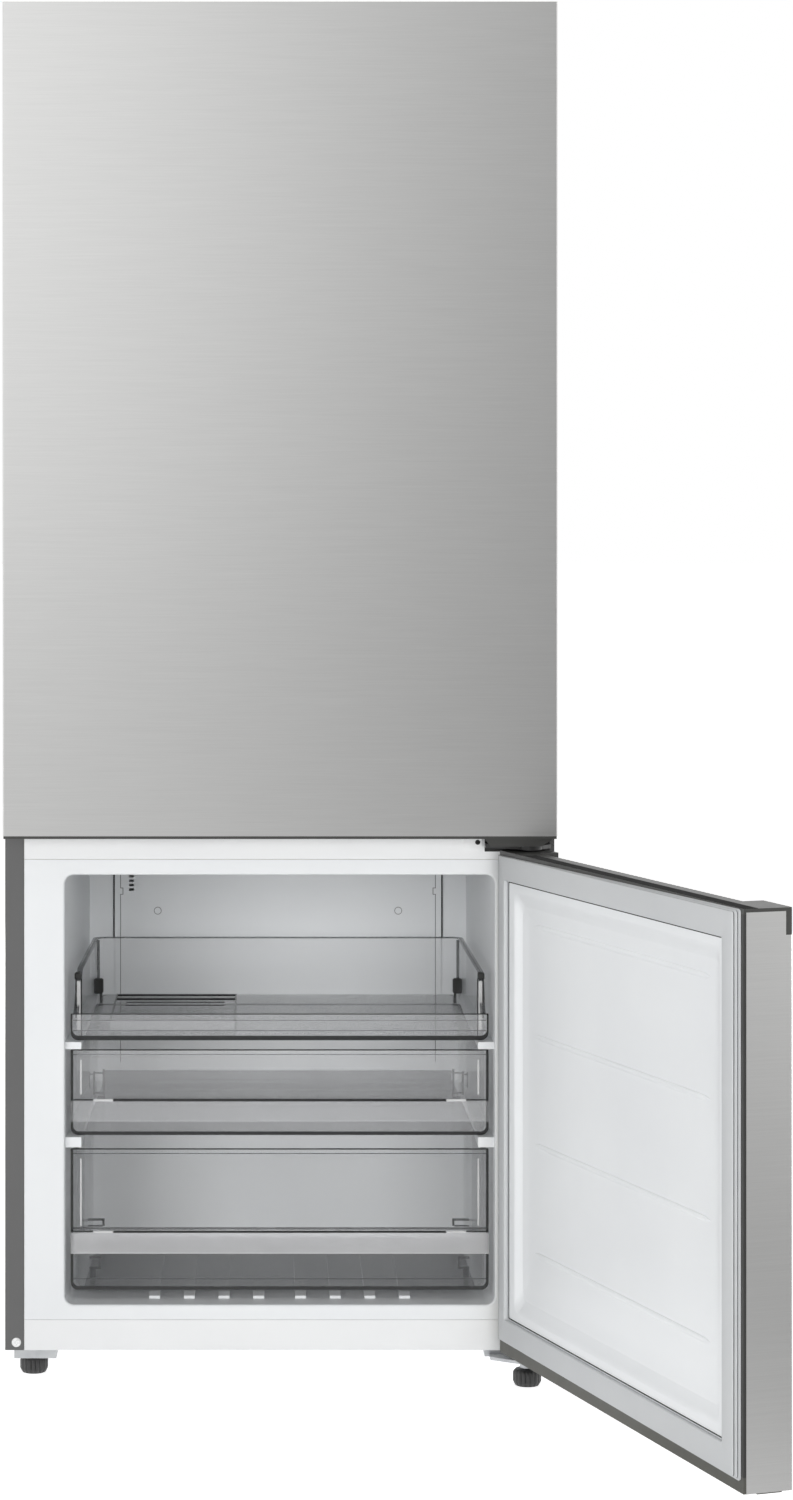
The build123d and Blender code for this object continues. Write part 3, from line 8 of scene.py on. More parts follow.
import bmesh
import bpy
import numpy as np
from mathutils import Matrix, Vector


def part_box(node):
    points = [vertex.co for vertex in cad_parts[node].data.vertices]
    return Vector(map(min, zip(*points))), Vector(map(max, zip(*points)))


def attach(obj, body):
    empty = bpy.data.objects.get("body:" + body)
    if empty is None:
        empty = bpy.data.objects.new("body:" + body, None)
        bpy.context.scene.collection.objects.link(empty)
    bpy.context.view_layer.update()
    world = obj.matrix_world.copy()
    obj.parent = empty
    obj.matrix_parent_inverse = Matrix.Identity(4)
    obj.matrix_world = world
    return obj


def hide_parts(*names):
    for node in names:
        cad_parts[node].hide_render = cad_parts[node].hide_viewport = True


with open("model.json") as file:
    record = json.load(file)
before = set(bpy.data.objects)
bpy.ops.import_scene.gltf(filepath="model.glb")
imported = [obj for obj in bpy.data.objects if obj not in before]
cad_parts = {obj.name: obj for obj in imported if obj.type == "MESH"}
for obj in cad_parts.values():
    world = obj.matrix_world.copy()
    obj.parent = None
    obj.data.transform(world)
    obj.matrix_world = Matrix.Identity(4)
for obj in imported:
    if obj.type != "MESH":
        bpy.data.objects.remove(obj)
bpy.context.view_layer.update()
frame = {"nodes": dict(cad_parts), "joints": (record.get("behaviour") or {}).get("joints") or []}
nodes = frame["nodes"]

# ------------------------------------------------------------------ studio
# A long lens stands well over four metres in front of the doors, a little above the lower one. The
# room and its floor are white, and five soft lamps stand round the refrigerator: two beside the
# lens, one far out on either side and one behind. The steel shows a shaded card behind the lens.
MM = 0.001
case_left, case_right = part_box("left_side_panel")[0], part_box("right_side_panel")[1]
middle = (case_left.x + case_right.x) / 2
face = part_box("upper_door_skin")[0].y

LENS = 85.0
LENS_LEFT = 24.7 * MM                     # how far the lens stands left of the cabinet's middle
LENS_AWAY = 4.4653
LENS_HEIGHT = 1.118
SHIFT_X, SHIFT_Y = 0.0907, -0.1648

scene = bpy.context.scene
scene.view_settings.view_transform = "Standard"
scene.cycles.transparent_max_bounces = 48     # the clear drawers stand one behind another
lens = bpy.data.cameras.new("lens")
lens.lens = LENS
lens.shift_x, lens.shift_y = SHIFT_X, SHIFT_Y
stand = bpy.data.objects.new("lens", lens)
stand.location = (middle - LENS_LEFT, face - LENS_AWAY, LENS_HEIGHT)
stand.rotation_euler = (np.pi / 2, 0, 0)
scene.collection.objects.link(stand)
scene.camera = stand


class Value:
    """One output of a shader node. Arithmetic on it adds the Math nodes that work it out."""

    def __init__(self, nodes, out):
        self.nodes, self.out = nodes, out

    def math(self, operation, first, second):
        return self.nodes.node("Math", {"operation": operation}, {0: first, 1: second})

    def __add__(self, other):
        return self.math("ADD", self, other)

    def __radd__(self, other):
        return self.math("ADD", other, self)

    def __sub__(self, other):
        return self.math("SUBTRACT", self, other)

    def __rsub__(self, other):
        return self.math("SUBTRACT", other, self)

    def __mul__(self, other):
        return self.math("MULTIPLY", self, other)

    def __rmul__(self, other):
        return self.math("MULTIPLY", other, self)

    def __pow__(self, other):
        return self.math("POWER", self, other)


class Nodes:
    """A node tree. node() adds any shader node: its settings first, then its sockets' values or links."""

    def __init__(self, tree):
        self.tree = tree

    def node(self, kind, settings=(), sockets=(), out=0):
        made = self.tree.nodes.new("ShaderNode" + kind)
        for name, value in dict(settings).items():
            if name == "stops":
                self.ramp(made.color_ramp.elements, value)
            else:
                setattr(made, name, value)
        for name, value in dict(sockets).items():
            self.join(value, made.inputs[name])
        return Value(self, made.outputs[out])

    @staticmethod
    def ramp(elements, stops):
        while len(elements) < len(stops):
            elements.new(1.0)
        for element, (place, level) in zip(elements, stops):
            element.position, element.color = place, (level, level, level, 1.0)

    def join(self, value, socket):
        if isinstance(value, Value):
            self.tree.links.new(value.out, socket)
        else:
            socket.default_value = value


def tone(red, green=None, blue=None):
    """Linear colour of 0 to 255 display levels: each level's share c goes to ((c + 0.055) / 1.055) ^ 2.4."""
    level = np.array([red, red if green is None else green, red if blue is None else blue]) / 255
    return (*((level + 0.055) / 1.055) ** 2.4, 1.0)


class Finish(Nodes):
    """One material, with its one Principled shader. Pieces of a clear one throw no shadow."""

    def __init__(self, name, clear=False, **fixed):
        self.clear = clear
        self.material = bpy.data.materials.new(name)
        self.material.use_nodes = True
        super().__init__(self.material.node_tree)
        self.shader = self.tree.nodes["Principled BSDF"]
        self.surface(**fixed)

    def surface(self, **sockets):
        """Sets the shader's sockets, named in small letters with _ for a space."""
        for name, value in sockets.items():
            self.join(value, self.shader.inputs[name.replace("_", " ").title().replace("Ior", "IOR")])

    def noise(self, scale, stretch=(1, 1, 1), detail=3.0, roughness=0.55):
        """Noise from 0 to 1 on the piece's own metres, stretched along each axis."""
        where = self.node("TexCoord", out=3)
        drawn = self.node("Mapping", {}, {"Vector": where, "Scale": stretch})
        return self.node("TexNoise", {}, {"Vector": drawn, "Scale": scale, "Detail": detail,
                                          "Roughness": roughness})

    def mix(self, share, low, high):
        """Colour between two colours."""
        return self.node("Mix", {"data_type": "RGBA"}, {0: share, 6: low, 7: high}, out=2)

    def bump(self, height, distance):
        """Relief of a height from 0 to 1, whose top stands that distance in metres over its foot."""
        self.surface(normal=self.node("Bump", {}, {"Height": height, "Distance": distance}))

    def shades(self, light, dark, cloud):
        """Base colour that drifts between two tones in soft clouds of a noise."""
        self.surface(base_color=self.mix(cloud * 1.6 - 0.3, light, dark))

    def coloured(self, light, dark, cloud, grain, rough=None, alpha=None):
        """Two tones in clouds of a noise, and a grain: its scale and its height in metres. Where roughness
        or alpha drifts, it is given as its least value, its range and the scale of its noise."""
        self.shades(light, dark, self.noise(cloud))
        for socket, drift in (("roughness", rough), ("alpha", alpha)):
            if drift:
                least, span, scale = drift
                self.surface(**{socket: least + span * self.noise(scale)})
        self.bump(self.noise(grain[0]), grain[1])

    def dress(self, *names):
        """Gives CAD nodes this material."""
        for name in names:
            for held in nodes[name].material_slots:
                held.material = self.material


ROOM_LIGHT = 0.30                         # light of the white room on surfaces that aren't seen through
sky = bpy.data.worlds.new("white_room")
sky.use_nodes = True
scene.world = sky
room = Nodes(sky.node_tree)


def seen_ray(tree):
    """1 where the camera, a reflection or clear plastic sees the surface, and 0 for the light that it sends:
    the greatest of the three kinds of ray."""
    seen = tree.node("LightPath", out="Is Camera Ray")
    for kind in ("Is Glossy Ray", "Is Transmission Ray"):
        seen = seen.math("MAXIMUM", seen, tree.node("LightPath", out=kind))
    return seen


background = sky.node_tree.nodes["Background"]
background.inputs["Color"].default_value = (1, 1, 1, 1)
room.join(ROOM_LIGHT + (1 - ROOM_LIGHT) * seen_ray(room), background.inputs["Strength"])


def stage_sheet(name, corners):
    """Flat sheet with four corners that belongs to the studio, and its finish."""
    mesh = bpy.data.meshes.new(name)
    mesh.from_pydata(corners, [], [(0, 1, 2, 3)])
    sheet = bpy.data.objects.new(name, mesh)
    scene.collection.objects.link(sheet)
    finish = Finish(name, roughness=1.0, specular_ior_level=0.0)
    mesh.materials.append(finish.material)
    return sheet, finish


FLOOR_REACH = 60.0
FLOOR_GLOW = 0.76
_, floor_finish = stage_sheet("floor", [(-FLOOR_REACH, -FLOOR_REACH, 0), (FLOOR_REACH, -FLOOR_REACH, 0),
                                        (FLOOR_REACH, FLOOR_REACH, 0), (-FLOOR_REACH, FLOOR_REACH, 0)])
floor_finish.shades(tone(250), tone(248), floor_finish.noise(2.0))
floor_finish.surface(emission_color=FLOOR_GLOW * seen_ray(floor_finish), emission_strength=1.0)

# The card stands behind the lens, and its foot lies along the floor to just short of the doors. Only
# reflections see them. A stop is a share of the width or the height and the level there.
CARD_LEFT, CARD_RIGHT, CARD_HIGH, CARD_LOW = -3.0, 9.0, 3.6, 0.01
WIDTH_STOPS = [(0.0, 1.45), (0.195, 1.2), (0.3075, 0.34), (0.375, 0.1), (0.465, 0.36), (0.55, 0.85),
               (0.6, 1.2), (1.0, 1.2)]
HEIGHT_STOPS = [(0.0, 0.26), (0.08, 0.38), (0.14, 0.54), (0.2, 0.74), (0.27, 0.95), (0.34, 1.06),
                (0.42, 1.09), (0.65, 1.12)]
FOOT_STOPS = [(0.0, 1.02), (0.2, 0.95), (0.3, 0.7), (0.36, 0.38), (0.43, 0.5), (0.55, 1.15), (1.0, 1.15)]
card_x0, card_x1 = middle + CARD_LEFT, middle + CARD_RIGHT
card_y, card_foot_y = face - LENS_AWAY - 0.1, face - 0.3
card_line = [(card_x0, card_y, CARD_LOW), (card_x1, card_y, CARD_LOW)]
card, card_finish = stage_sheet("shaded_card",
                                [*card_line, (card_x1, card_y, CARD_HIGH), (card_x0, card_y, CARD_HIGH)])
card_foot, card_foot_finish = stage_sheet("shaded_card_foot", [*card_line, (card_x1, card_foot_y, CARD_LOW),
                                                               (card_x0, card_foot_y, CARD_LOW)])
for sheet, finish, stops in ((card, card_finish, WIDTH_STOPS), (card_foot, card_foot_finish, FOOT_STOPS)):
    where = finish.node("TexCoord", out=3)
    across = (finish.node("SeparateXYZ", {}, {0: where}) - card_x0) * (1 / (CARD_RIGHT - CARD_LEFT))
    level = finish.node("ValToRGB", {"stops": stops}, {0: across})
    if sheet is card:
        up = finish.node("SeparateXYZ", {}, {0: where}, out=2) * (1 / CARD_HIGH)
        level = level * finish.node("ValToRGB", {"stops": HEIGHT_STOPS}, {0: up})
    finish.surface(base_color=(0, 0, 0, 1), emission_color=level, emission_strength=1.0)
    sheet.visible_camera = sheet.visible_diffuse = sheet.visible_shadow = sheet.visible_transmission = False

LAMP_SIZE = 1.8
LAMP_HEIGHT = 0.9
for side, lamp_x, lamp_y, power in (("left", -1.9, -4.4, 73.0), ("right", 0.9, -4.4, 64.0),
                                    ("far_left", -4.6, 0.6, 62.0), ("far_right", 4.6, 0.6, 70.0),
                                    ("behind", 0.6, 4.8, 100.0)):
    lamp = bpy.data.lights.new("lamp_" + side, "AREA")
    lamp.shape = "RECTANGLE"
    lamp.size = lamp.size_y = LAMP_SIZE
    lamp.energy = power
    lamp_stand = bpy.data.objects.new("lamp_" + side, lamp)
    lamp_stand.location = (middle + lamp_x, face + lamp_y, LAMP_HEIGHT)
    lamp_stand.rotation_euler = (np.pi / 2, 0, np.arctan2(lamp_x, -lamp_y))
    lamp_stand.visible_glossy = False
    scene.collection.objects.link(lamp_stand)

# ------------------------------------------------------------------ painted case
# Two side panels and a top of thin steel, folded in at the front and back and coated in dark grey
# paint with a fine orange peel. The sheets clip together at the corners.
case_paint = Finish("case_paint", roughness=0.42, coat_weight=0.15, coat_roughness=0.25)
case_paint.coloured(tone(98), tone(90), 3.0, rough=(0.36, 0.12, 14.0), grain=(420.0, 0.00006))
case_paint.dress("left_side_panel", "right_side_panel", "top_panel")

# ------------------------------------------------------------------ back, base and machine room walls
# Zinc-coated sheet with the coating's broad crystals, bare where it doesn't show: the back, the
# base, the hood over the machine room and its slotted cover.
zinc_sheet = Finish("zinc_sheet", metallic=0.75)
crystals = zinc_sheet.node("TexVoronoi", {"feature": "SMOOTH_F1"},
                           {"Vector": zinc_sheet.node("TexCoord", out=3), "Scale": 55.0}, out=1)
grey_of_crystal = zinc_sheet.node("RGBToBW", {}, {0: crystals})
zinc_sheet.surface(base_color=zinc_sheet.mix(grey_of_crystal, tone(150, 153, 156), tone(190, 192, 194)))
zinc_sheet.surface(roughness=0.34 + 0.2 * grey_of_crystal)
zinc_sheet.bump(zinc_sheet.noise(120.0), 0.00008)
zinc_sheet.dress("back_plate", "base_plate", "machine_room_hood", "machine_cover")

# ------------------------------------------------------------------ liners
# Both compartments are vacuum-formed from white polystyrene sheet with a soft gloss. It dips and
# swells a little over the foam behind it, which shows in its highlights.
white_liner = Finish("white_liner", specular_ior_level=0.4)
white_liner.shades(tone(238, 240, 241), tone(232, 234, 236), white_liner.noise(5.0))
white_liner.surface(roughness=0.30 + 0.12 * white_liner.noise(9.0))
white_liner.bump(white_liner.noise(16.0, detail=1.0) + 0.04 * white_liner.noise(700.0), 0.0006)
white_liner.dress("freezer_liner", "fridge_liner", "evaporator_cover", "air_duct")

# The rail between the doors and the cover under the freezer are white painted steel.
white_paint = Finish("white_paint", coat_weight=0.2, coat_roughness=0.2)
white_paint.coloured(tone(240, 241, 241), tone(234, 235, 236), 6.0,
                     rough=(0.34, 0.1, 30.0), grain=(500.0, 0.00004))
white_paint.dress("middle_rail", "base_cover")

# Rigid foam fills the walls and the doors, straw-coloured with fine cells and a cast skin.
foam = Finish("foam", roughness=0.9)
foam.shades(tone(226, 214, 176), tone(206, 190, 148), foam.noise(40.0))
foam.bump(foam.noise(600.0, detail=6.0), 0.0004)
foam.dress("cabinet_insulation", "upper_door_insulation", "freezer_door_insulation")


# ------------------------------------------------------------------ freezer's back panel
# A white moulded cover hides the evaporator. A dark foam seal runs down both of its sides, its dark
# colour also painted shadow of the gap at the cover's edges, and two round plugs close its screw holes.
def rounded_outline(corners, radii, steps=8):
    """Closed outline through a polygon's corners, given anticlockwise, with each corner rounded by an arc.

    Returns the points and the outward normal at each. An arc's centre lies inside its corner by
    radius * (n0 + n1) / (1 + n0 . n1), where n0 and n1 are the outward normals of its two edges.
    """
    corner = np.array(corners, float)
    along = np.roll(corner, -1, 0) - corner
    along /= np.linalg.norm(along, axis=1)[:, None]
    after = np.stack([along[:, 1], -along[:, 0]], 1)
    before = np.roll(after, 1, 0)
    radius = np.broadcast_to(np.asarray(radii, float), len(corner))[:, None]
    centre = corner - radius * (after + before) / (1 + (after * before).sum(1))[:, None]
    start = np.arctan2(before[:, 1], before[:, 0])
    turn = (np.arctan2(after[:, 1], after[:, 0]) - start) % (2 * np.pi)
    angle = start[:, None] + turn[:, None] * np.linspace(0, 1, steps + 1)
    normal = np.stack([np.cos(angle), np.sin(angle)], 2)
    points = centre[:, None] + radius[:, None] * normal
    return points.reshape(-1, 2), normal.reshape(-1, 2)


def carried(outline, profile):
    """A profile carried round an outline: point (i, j) is outline point j, moved out along its normal by
    profile offset i, at profile height i. An offset or a height may also be an array over the outline."""
    points, normal = outline
    across = np.array([np.broadcast_to(offset, len(points)) for offset, _ in profile])
    height = np.array([np.broadcast_to(up, len(points)) for _, up in profile])
    flat = points[None] + across[:, :, None] * normal[None]
    return np.concatenate([flat, height[:, :, None]], 2)


def upright_plane(grid):
    """Turns a grid drawn as (x, height, depth) into cabinet places (x, depth, height)."""
    return grid[..., [0, 2, 1]]


def cabinet(grid):
    """Cabinet places as places in the row's frame."""
    return grid + np.array([middle, face, 0.0])


door_hinge = next(joint for joint in frame["joints"] if joint["name"] == "freezer_door_hinge")
hinge_at = np.array(door_hinge["pos_m"])
open_turn = np.radians(-door_hinge["range_deg"][0])        # from shut to where the door stands at rest


def open_door(grid):
    """Places on the freezer door as if it were shut, turned about the hinge line to where it stands open."""
    shut = cabinet(grid) - hinge_at
    turned = shut.copy()
    turned[..., 0] = shut[..., 0] * np.cos(open_turn) - shut[..., 1] * np.sin(open_turn)
    turned[..., 1] = shut[..., 0] * np.sin(open_turn) + shut[..., 1] * np.cos(open_turn)
    return turned + hinge_at


def piece(name, grids, finish, body, slot, place=cabinet, loop=False, replaces=(), crease=35.0):
    """One mesh of one or more grids, which rides on a body. A grid's columns close round. Its rows close
    round when loop is set, and otherwise its first and last rows are closed by a flat face each."""
    points, faces, start = [], [], 0
    for grid in grids:
        rows, columns = grid.shape[:2]
        index = start + np.arange(rows * columns).reshape(rows, columns)
        index = np.concatenate([index, index[:, :1]], 1)
        if loop:
            index = np.concatenate([index, index[:1]], 0)
        squares = np.stack([index[:-1, :-1], index[:-1, 1:], index[1:, 1:], index[1:, :-1]], 2)
        faces += squares.reshape(-1, 4).tolist()
        if not loop:
            faces += [index[0, :columns].tolist(), index[-1, :columns].tolist()]
        points.append(place(grid).reshape(-1, 3))
        start += rows * columns
    mesh = bpy.data.meshes.new(name)
    mesh.from_pydata(np.concatenate(points).tolist(), [], faces)
    shell = bmesh.new()
    shell.from_mesh(mesh)
    bmesh.ops.remove_doubles(shell, verts=shell.verts, dist=1e-6)
    bmesh.ops.recalc_face_normals(shell, faces=shell.faces)
    shell.to_mesh(mesh)
    shell.free()
    mesh.shade_smooth()
    mesh.set_sharp_from_angle(angle=np.radians(crease))
    mesh.materials.append(finish.material)
    made = bpy.data.objects.new(name, mesh)
    made.visible_shadow = not finish.clear
    scene.collection.objects.link(made)
    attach(made, body)
    if replaces:
        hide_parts(*replaces)


def local(name):
    """A cabinet node's lowest and highest corners as cabinet places."""
    low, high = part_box(name)
    home = np.array([middle, face, 0.0])
    return np.array(low) - home, np.array(high) - home


def box_ring(x0, x1, y0, y1, radius=0.0004, steps=2):
    """Outline of a rectangle with its corners just broken, or rounded by a larger radius."""
    return rounded_outline([(x0, y0), (x1, y0), (x1, y1), (x0, y1)], radius, steps)


def bar(x0, x1, y0, y1, z0, z1, edge=0.0004):
    """Square bar with broken edges, as a grid: its outline in plan, carried up from z0 to z1."""
    return carried(box_ring(x0, x1, y0, y1, edge),
                   [(-edge, z0), (0, z0 + edge), (0, z1 - edge), (-edge, z1)])


# Painted shadow: the dark strips down the cover's sides stand for the shadow of the gap there.
shadow_seal_black = Finish("shadow_seal_black", roughness=0.8)
shadow_seal_black.coloured(tone(52), tone(40), 90.0, grain=(900.0, 0.0002))
cover_low, cover_high = local("evaporator_cover")
SHADOW_SEAL_WIDE, SHADOW_SEAL_LOW = 2.2 * MM, 0.506
shadow_seal_front, shadow_seal_back = cover_high[1] - 2.4 * MM, cover_high[1] - 0.05 * MM
piece("back_panel_shadow_seals",
      [bar(*sorted((side * cover_high[0], side * (cover_high[0] + SHADOW_SEAL_WIDE))), shadow_seal_front, shadow_seal_back,
           SHADOW_SEAL_LOW, cover_high[2] - 1 * MM) for side in (-1, 1)],
      shadow_seal_black, "cabinet", "dark_plastic")

# Painted shade: grey for the shade in the moulded joints and round the plugs.
joint_shade_grey = Finish("joint_shade_grey", roughness=0.6)
joint_shade_grey.coloured(tone(150), tone(136), 60.0, grain=(400.0, 0.0001))
panel_face = cover_low[1] + 1.2 * MM              # flat face behind the panel's low ribs


def joint_shade_line(x0, x1, z0, z1):
    """Thin bar that stands a hair proud of the panel's face, between two places across and two up. Its grey
    is painted shade along a moulded joint.
    """
    return bar(*sorted((x0, x1)), panel_face - 0.3 * MM, panel_face + 0.2 * MM, z0, z1, 0.1 * MM)


# A moulded joint line runs down inside each edge, with one notch that steps further in. Grey bars
# along it are painted shade, and so are the grey rings round the plugs.
JOINT_IN, JOINT_WIDE, JOINT_LOW = 7.5 * MM, 1.1 * MM, 0.33
NOTCH_IN, NOTCH_LONG, NOTCH_Z = 3.4 * MM, 4.4 * MM, (0.566, 0.575)
PLUG_IN, PLUG_DOWN, PLUG, PLUG_RING = 60.5 * MM, 87.9 * MM, 5.4 * MM, 0.9 * MM
joints, plugs = [], []
for side in (-1, 1):
    edge = side * (cover_high[0] - JOINT_IN)
    for inner, z0, z1 in ((0, JOINT_LOW, NOTCH_Z[0]), (NOTCH_IN, *NOTCH_Z),
                          (0, NOTCH_Z[1], cover_high[2] - 2 * MM)):
        x = edge - side * inner
        joints.append(joint_shade_line(x, x - side * JOINT_WIDE, z0, z1))
    joints += [joint_shade_line(edge, edge - side * NOTCH_LONG, z - 0.5 * MM, z + 0.5 * MM) for z in NOTCH_Z]
    plug_x, plug_z = side * (cover_high[0] - PLUG_IN), cover_high[2] - PLUG_DOWN
    plug_back, plug_front = panel_face + 0.2 * MM, panel_face - 0.9 * MM
    plugs.append(upright_plane(carried(
        box_ring(plug_x - PLUG, plug_x + PLUG, plug_z - PLUG, plug_z + PLUG, PLUG, 8),
        [(0, plug_back), (0, plug_front), (-PLUG_RING, plug_front), (-PLUG_RING, plug_back)])))
piece("back_panel_joint_shade_lines", joints, joint_shade_grey, "cabinet", "white_liner")
piece("back_panel_plug_shade_rings", plugs, joint_shade_grey, "cabinet", "white_liner", loop=True)

# ------------------------------------------------------------------ cooling parts
# Bright aluminium fins and tubes behind the back panel, a motor and fan above them. Below, a black
# enamelled compressor on rubber mounts, a black coated condenser, its fan and a drain pan.
fin_metal = Finish("fin_metal", metallic=1.0)
fin_metal.shades(tone(205, 207, 209), tone(178, 181, 184), fin_metal.noise(60.0))
fin_metal.surface(roughness=0.3 + 0.15 * fin_metal.noise(200.0, (1, 1, 8)))
fin_metal.bump(fin_metal.noise(300.0, (1, 1, 6)), 0.00005)
fin_metal.dress("evaporator", "defrost_heater")

black_enamel = Finish("black_enamel", coat_weight=0.6, coat_roughness=0.12)
black_enamel.coloured(tone(30), tone(22), 12.0, rough=(0.32, 0.12, 50.0), grain=(260.0, 0.00012))
black_enamel.dress("compressor", "condenser", "condenser_fan_motor", "evaporator_fan_motor")

black_rubber = Finish("black_rubber", specular_ior_level=0.35)
black_rubber.coloured(tone(38), tone(28), 30.0, rough=(0.62, 0.2, 80.0), grain=(900.0, 0.0001))
black_rubber.dress("compressor_mounts", "cord_gland")

black_plastic = Finish("black_plastic")
black_plastic.coloured(tone(56, 56, 55), tone(46, 46, 45), 10.0,
                       rough=(0.46, 0.14, 60.0), grain=(1500.0, 0.00008))
black_plastic.dress("drain_pan", "condenser_fan", "evaporator_fan", "roller_left", "roller_right",
                    "top_hinge_cover")

# ------------------------------------------------------------------ feet, rollers and brackets
# A zinc plated bracket carries the left foot, and the lower hinge the right one. Each foot is a
# black moulded pad with grip ribs round its rim. Two nylon rollers stand at the back.
zinc_plate = Finish("zinc_plate", metallic=0.9)
zinc_plate.coloured(tone(196, 198, 199), tone(168, 170, 173), 45.0,
                    rough=(0.32, 0.16, 120.0), grain=(500.0, 0.00004))
zinc_plate.dress("foot_bracket", "roller_brackets", "lower_hinge", "top_hinge")

foot_plastic = Finish("foot_plastic", coat_weight=0.4, coat_roughness=0.25)
foot_plastic.coloured(tone(44), tone(36), 30.0, rough=(0.42, 0.16, 80.0), grain=(900.0, 0.0001))

FOOT_RIBS = 18
RIB_DEEP = 1.6 * MM
STEM, PAD_HIGH = 5 * MM, 21 * MM
for name in ("foot_left", "foot_right"):
    low, high = local(name)
    centre = (low + high) / 2
    rim = (high[0] - low[0]) / 2
    around = np.linspace(0, 2 * np.pi, FOOT_RIBS * 8, endpoint=False)
    normal = np.stack([np.cos(around), np.sin(around)], 1)
    ribs = RIB_DEEP * (0.5 + 0.5 * np.cos(FOOT_RIBS * around)) ** 3       # narrow grooves between broad ribs
    axis = centre[:2] + 0 * normal, normal         # every point on the axis, so an offset is a radius
    profile = [(rim - 5 * MM, 0.0), (rim - 3 * MM, 0.4 * MM), (rim - 1 * MM - ribs, 4 * MM),
               (rim - ribs, 6 * MM), (rim - ribs, 16 * MM), (rim - 1.2 * MM - 0.6 * ribs, 18.6 * MM),
               (rim - 3 * MM, 20.4 * MM), (rim - 6 * MM, PAD_HIGH), (STEM + 1 * MM, PAD_HIGH),
               (STEM, PAD_HIGH), (STEM, high[2])]
    piece(name + "_pad", [carried(axis, profile)], foot_plastic, name, "black_rubber", replaces=[name],
          crease=50.0)

# ------------------------------------------------------------------ hinges and screws
# The middle hinge is a thick plate in black enamel with a pin for each door. Screws have low pan
# heads with a cross recess: zinc plated on the hinges and the case, black on the rail's pad.
hinge_black = Finish("hinge_black", metallic=0.3, coat_weight=0.3, coat_roughness=0.3)
hinge_black.coloured(tone(50), tone(38), 25.0, rough=(0.38, 0.15, 90.0), grain=(700.0, 0.00005))
hinge_black.dress("middle_hinge")


def screw_head(radius, rise, steps=32, rings=9):
    """Pan head as a height over a disc: a dome rise * (1 - 0.55 r^4), less a cross recess where the smaller
    of |x| and |y| is under a seventh of the radius. Grid rows go from the rim to the middle."""
    share = np.linspace(1, 0.02, rings)[:, None]
    angle = np.linspace(0, 2 * np.pi, steps, endpoint=False)[None]
    x, y = share * np.cos(angle), share * np.sin(angle)
    arms = np.clip((0.16 - np.minimum(abs(x), abs(y))) / 0.05, 0, 1)
    cross = arms * np.clip((0.55 - np.hypot(x, y)) / 0.08, 0, 1)
    dome = rise * (1 - 0.55 * share ** 4) - 0.75 * rise * cross
    rim_row = np.stack([radius * np.cos(angle[0]), radius * np.sin(angle[0]), np.zeros(steps)], 1)[None]
    return np.concatenate([rim_row, np.stack([radius * x, radius * y, dome], 2)], 0)


def facing_screw(x, y, z, radius, rise):
    """Screw whose head faces the front, its rim resting on the plane at y."""
    grid = screw_head(radius, rise)
    return np.stack([x + grid[..., 0], y - grid[..., 2], z + grid[..., 1]], -1)


def upright_screw(x, y, z, radius, rise, up=1):
    """Screw whose head faces up, or down with up = -1."""
    grid = screw_head(radius, rise)
    return np.stack([x + grid[..., 0], y + grid[..., 1], z + up * grid[..., 2]], -1)


hinge_low, hinge_high = local("middle_hinge")
screws_low, screws_high = local("hinge_screws")
top_low, top_high = local("top_hinge")
lower_low, lower_high = local("lower_hinge")
HEAD = 4.5 * MM
SCREW_Z = 698 * MM
piece("hinge_screw_heads",
      [facing_screw(hinge_low[0] + x, screws_low[1] + 2.5 * MM, SCREW_Z, HEAD, 2.5 * MM)
       for x in (12 * MM, 34 * MM)]
      + [upright_screw(x, y, screws_high[2] - 3 * MM, HEAD, 3 * MM)
         for x in (top_low[0] + 14 * MM, top_high[0] - 15 * MM) for y in (100 * MM, 138 * MM)]
      + [upright_screw(lower_low[0] + x, lower_high[1] - 20 * MM, screws_low[2] + 3 * MM, HEAD, 3 * MM, -1)
         for x in (18 * MM, 48 * MM)],
      zinc_plate, "cabinet", "zinc_steel", replaces=["hinge_screws"], crease=60.0)

bright_zinc = Finish("bright_zinc", metallic=0.35)
bright_zinc.coloured(tone(244), tone(232), 90.0, rough=(0.3, 0.12, 160.0), grain=(600.0, 0.00004))
pair_low, pair_high = local("cover_screws")       # the case's screw on its left, the pad's on its right
CASE_SCREW, PAD_SCREW = 6 * MM, 3.2 * MM
rail_front = hinge_high[1]
piece("case_screw_head",
      [facing_screw(pair_low[0] + CASE_SCREW, rail_front, pair_low[2] + CASE_SCREW, CASE_SCREW, 2 * MM)],
      bright_zinc, "cabinet", "zinc_steel", crease=60.0)
piece("pad_screw_head",
      [facing_screw(pair_high[0] - PAD_SCREW, pair_low[1] + 2 * MM, pair_high[2] - PAD_SCREW, PAD_SCREW,
                    2 * MM)],
      hinge_black, "cabinet", "black_steel", replaces=["cover_screws"], crease=60.0)

# ------------------------------------------------------------------ brushed steel sheets
# Each door has one stainless sheet folded round its front and sides, brushed along its width and
# left bare. The brush lines are fine, level and a few centimetres long.
steel = Finish("brushed_steel", metallic=1.0)
fine_lines = steel.noise(1.0, (16.0, 16.0, 900.0), detail=2.0, roughness=0.6)
broad_lines = steel.noise(1.0, (5.0, 5.0, 260.0), detail=2.0)
brushing = 0.7 * fine_lines + 0.3 * broad_lines
steel.surface(base_color=steel.mix(brushing * 1.6 - 0.3, tone(210, 210, 209), tone(219, 219, 218)))
steel.surface(roughness=0.31 + 0.04 * fine_lines)
steel.bump(fine_lines, 0.000006)
steel.dress("upper_door_skin", "freezer_door_skin")

# ------------------------------------------------------------------ door caps and frames
# Moulded ends close each door: charcoal ABS at the top and bottom of the freezer door, with the
# grip along its top, and under the upper door. The doors' inner frames are charcoal as well.
cap_plastic = Finish("cap_plastic", coat_weight=0.25, coat_roughness=0.35)
cap_plastic.coloured(tone(62, 62, 60), tone(52, 52, 50), 8.0,
                     rough=(0.38, 0.12, 70.0), grain=(1400.0, 0.00006))
cap_plastic.dress("freezer_door_top_cap", "upper_door_top_cap", "upper_door_bottom_cap")

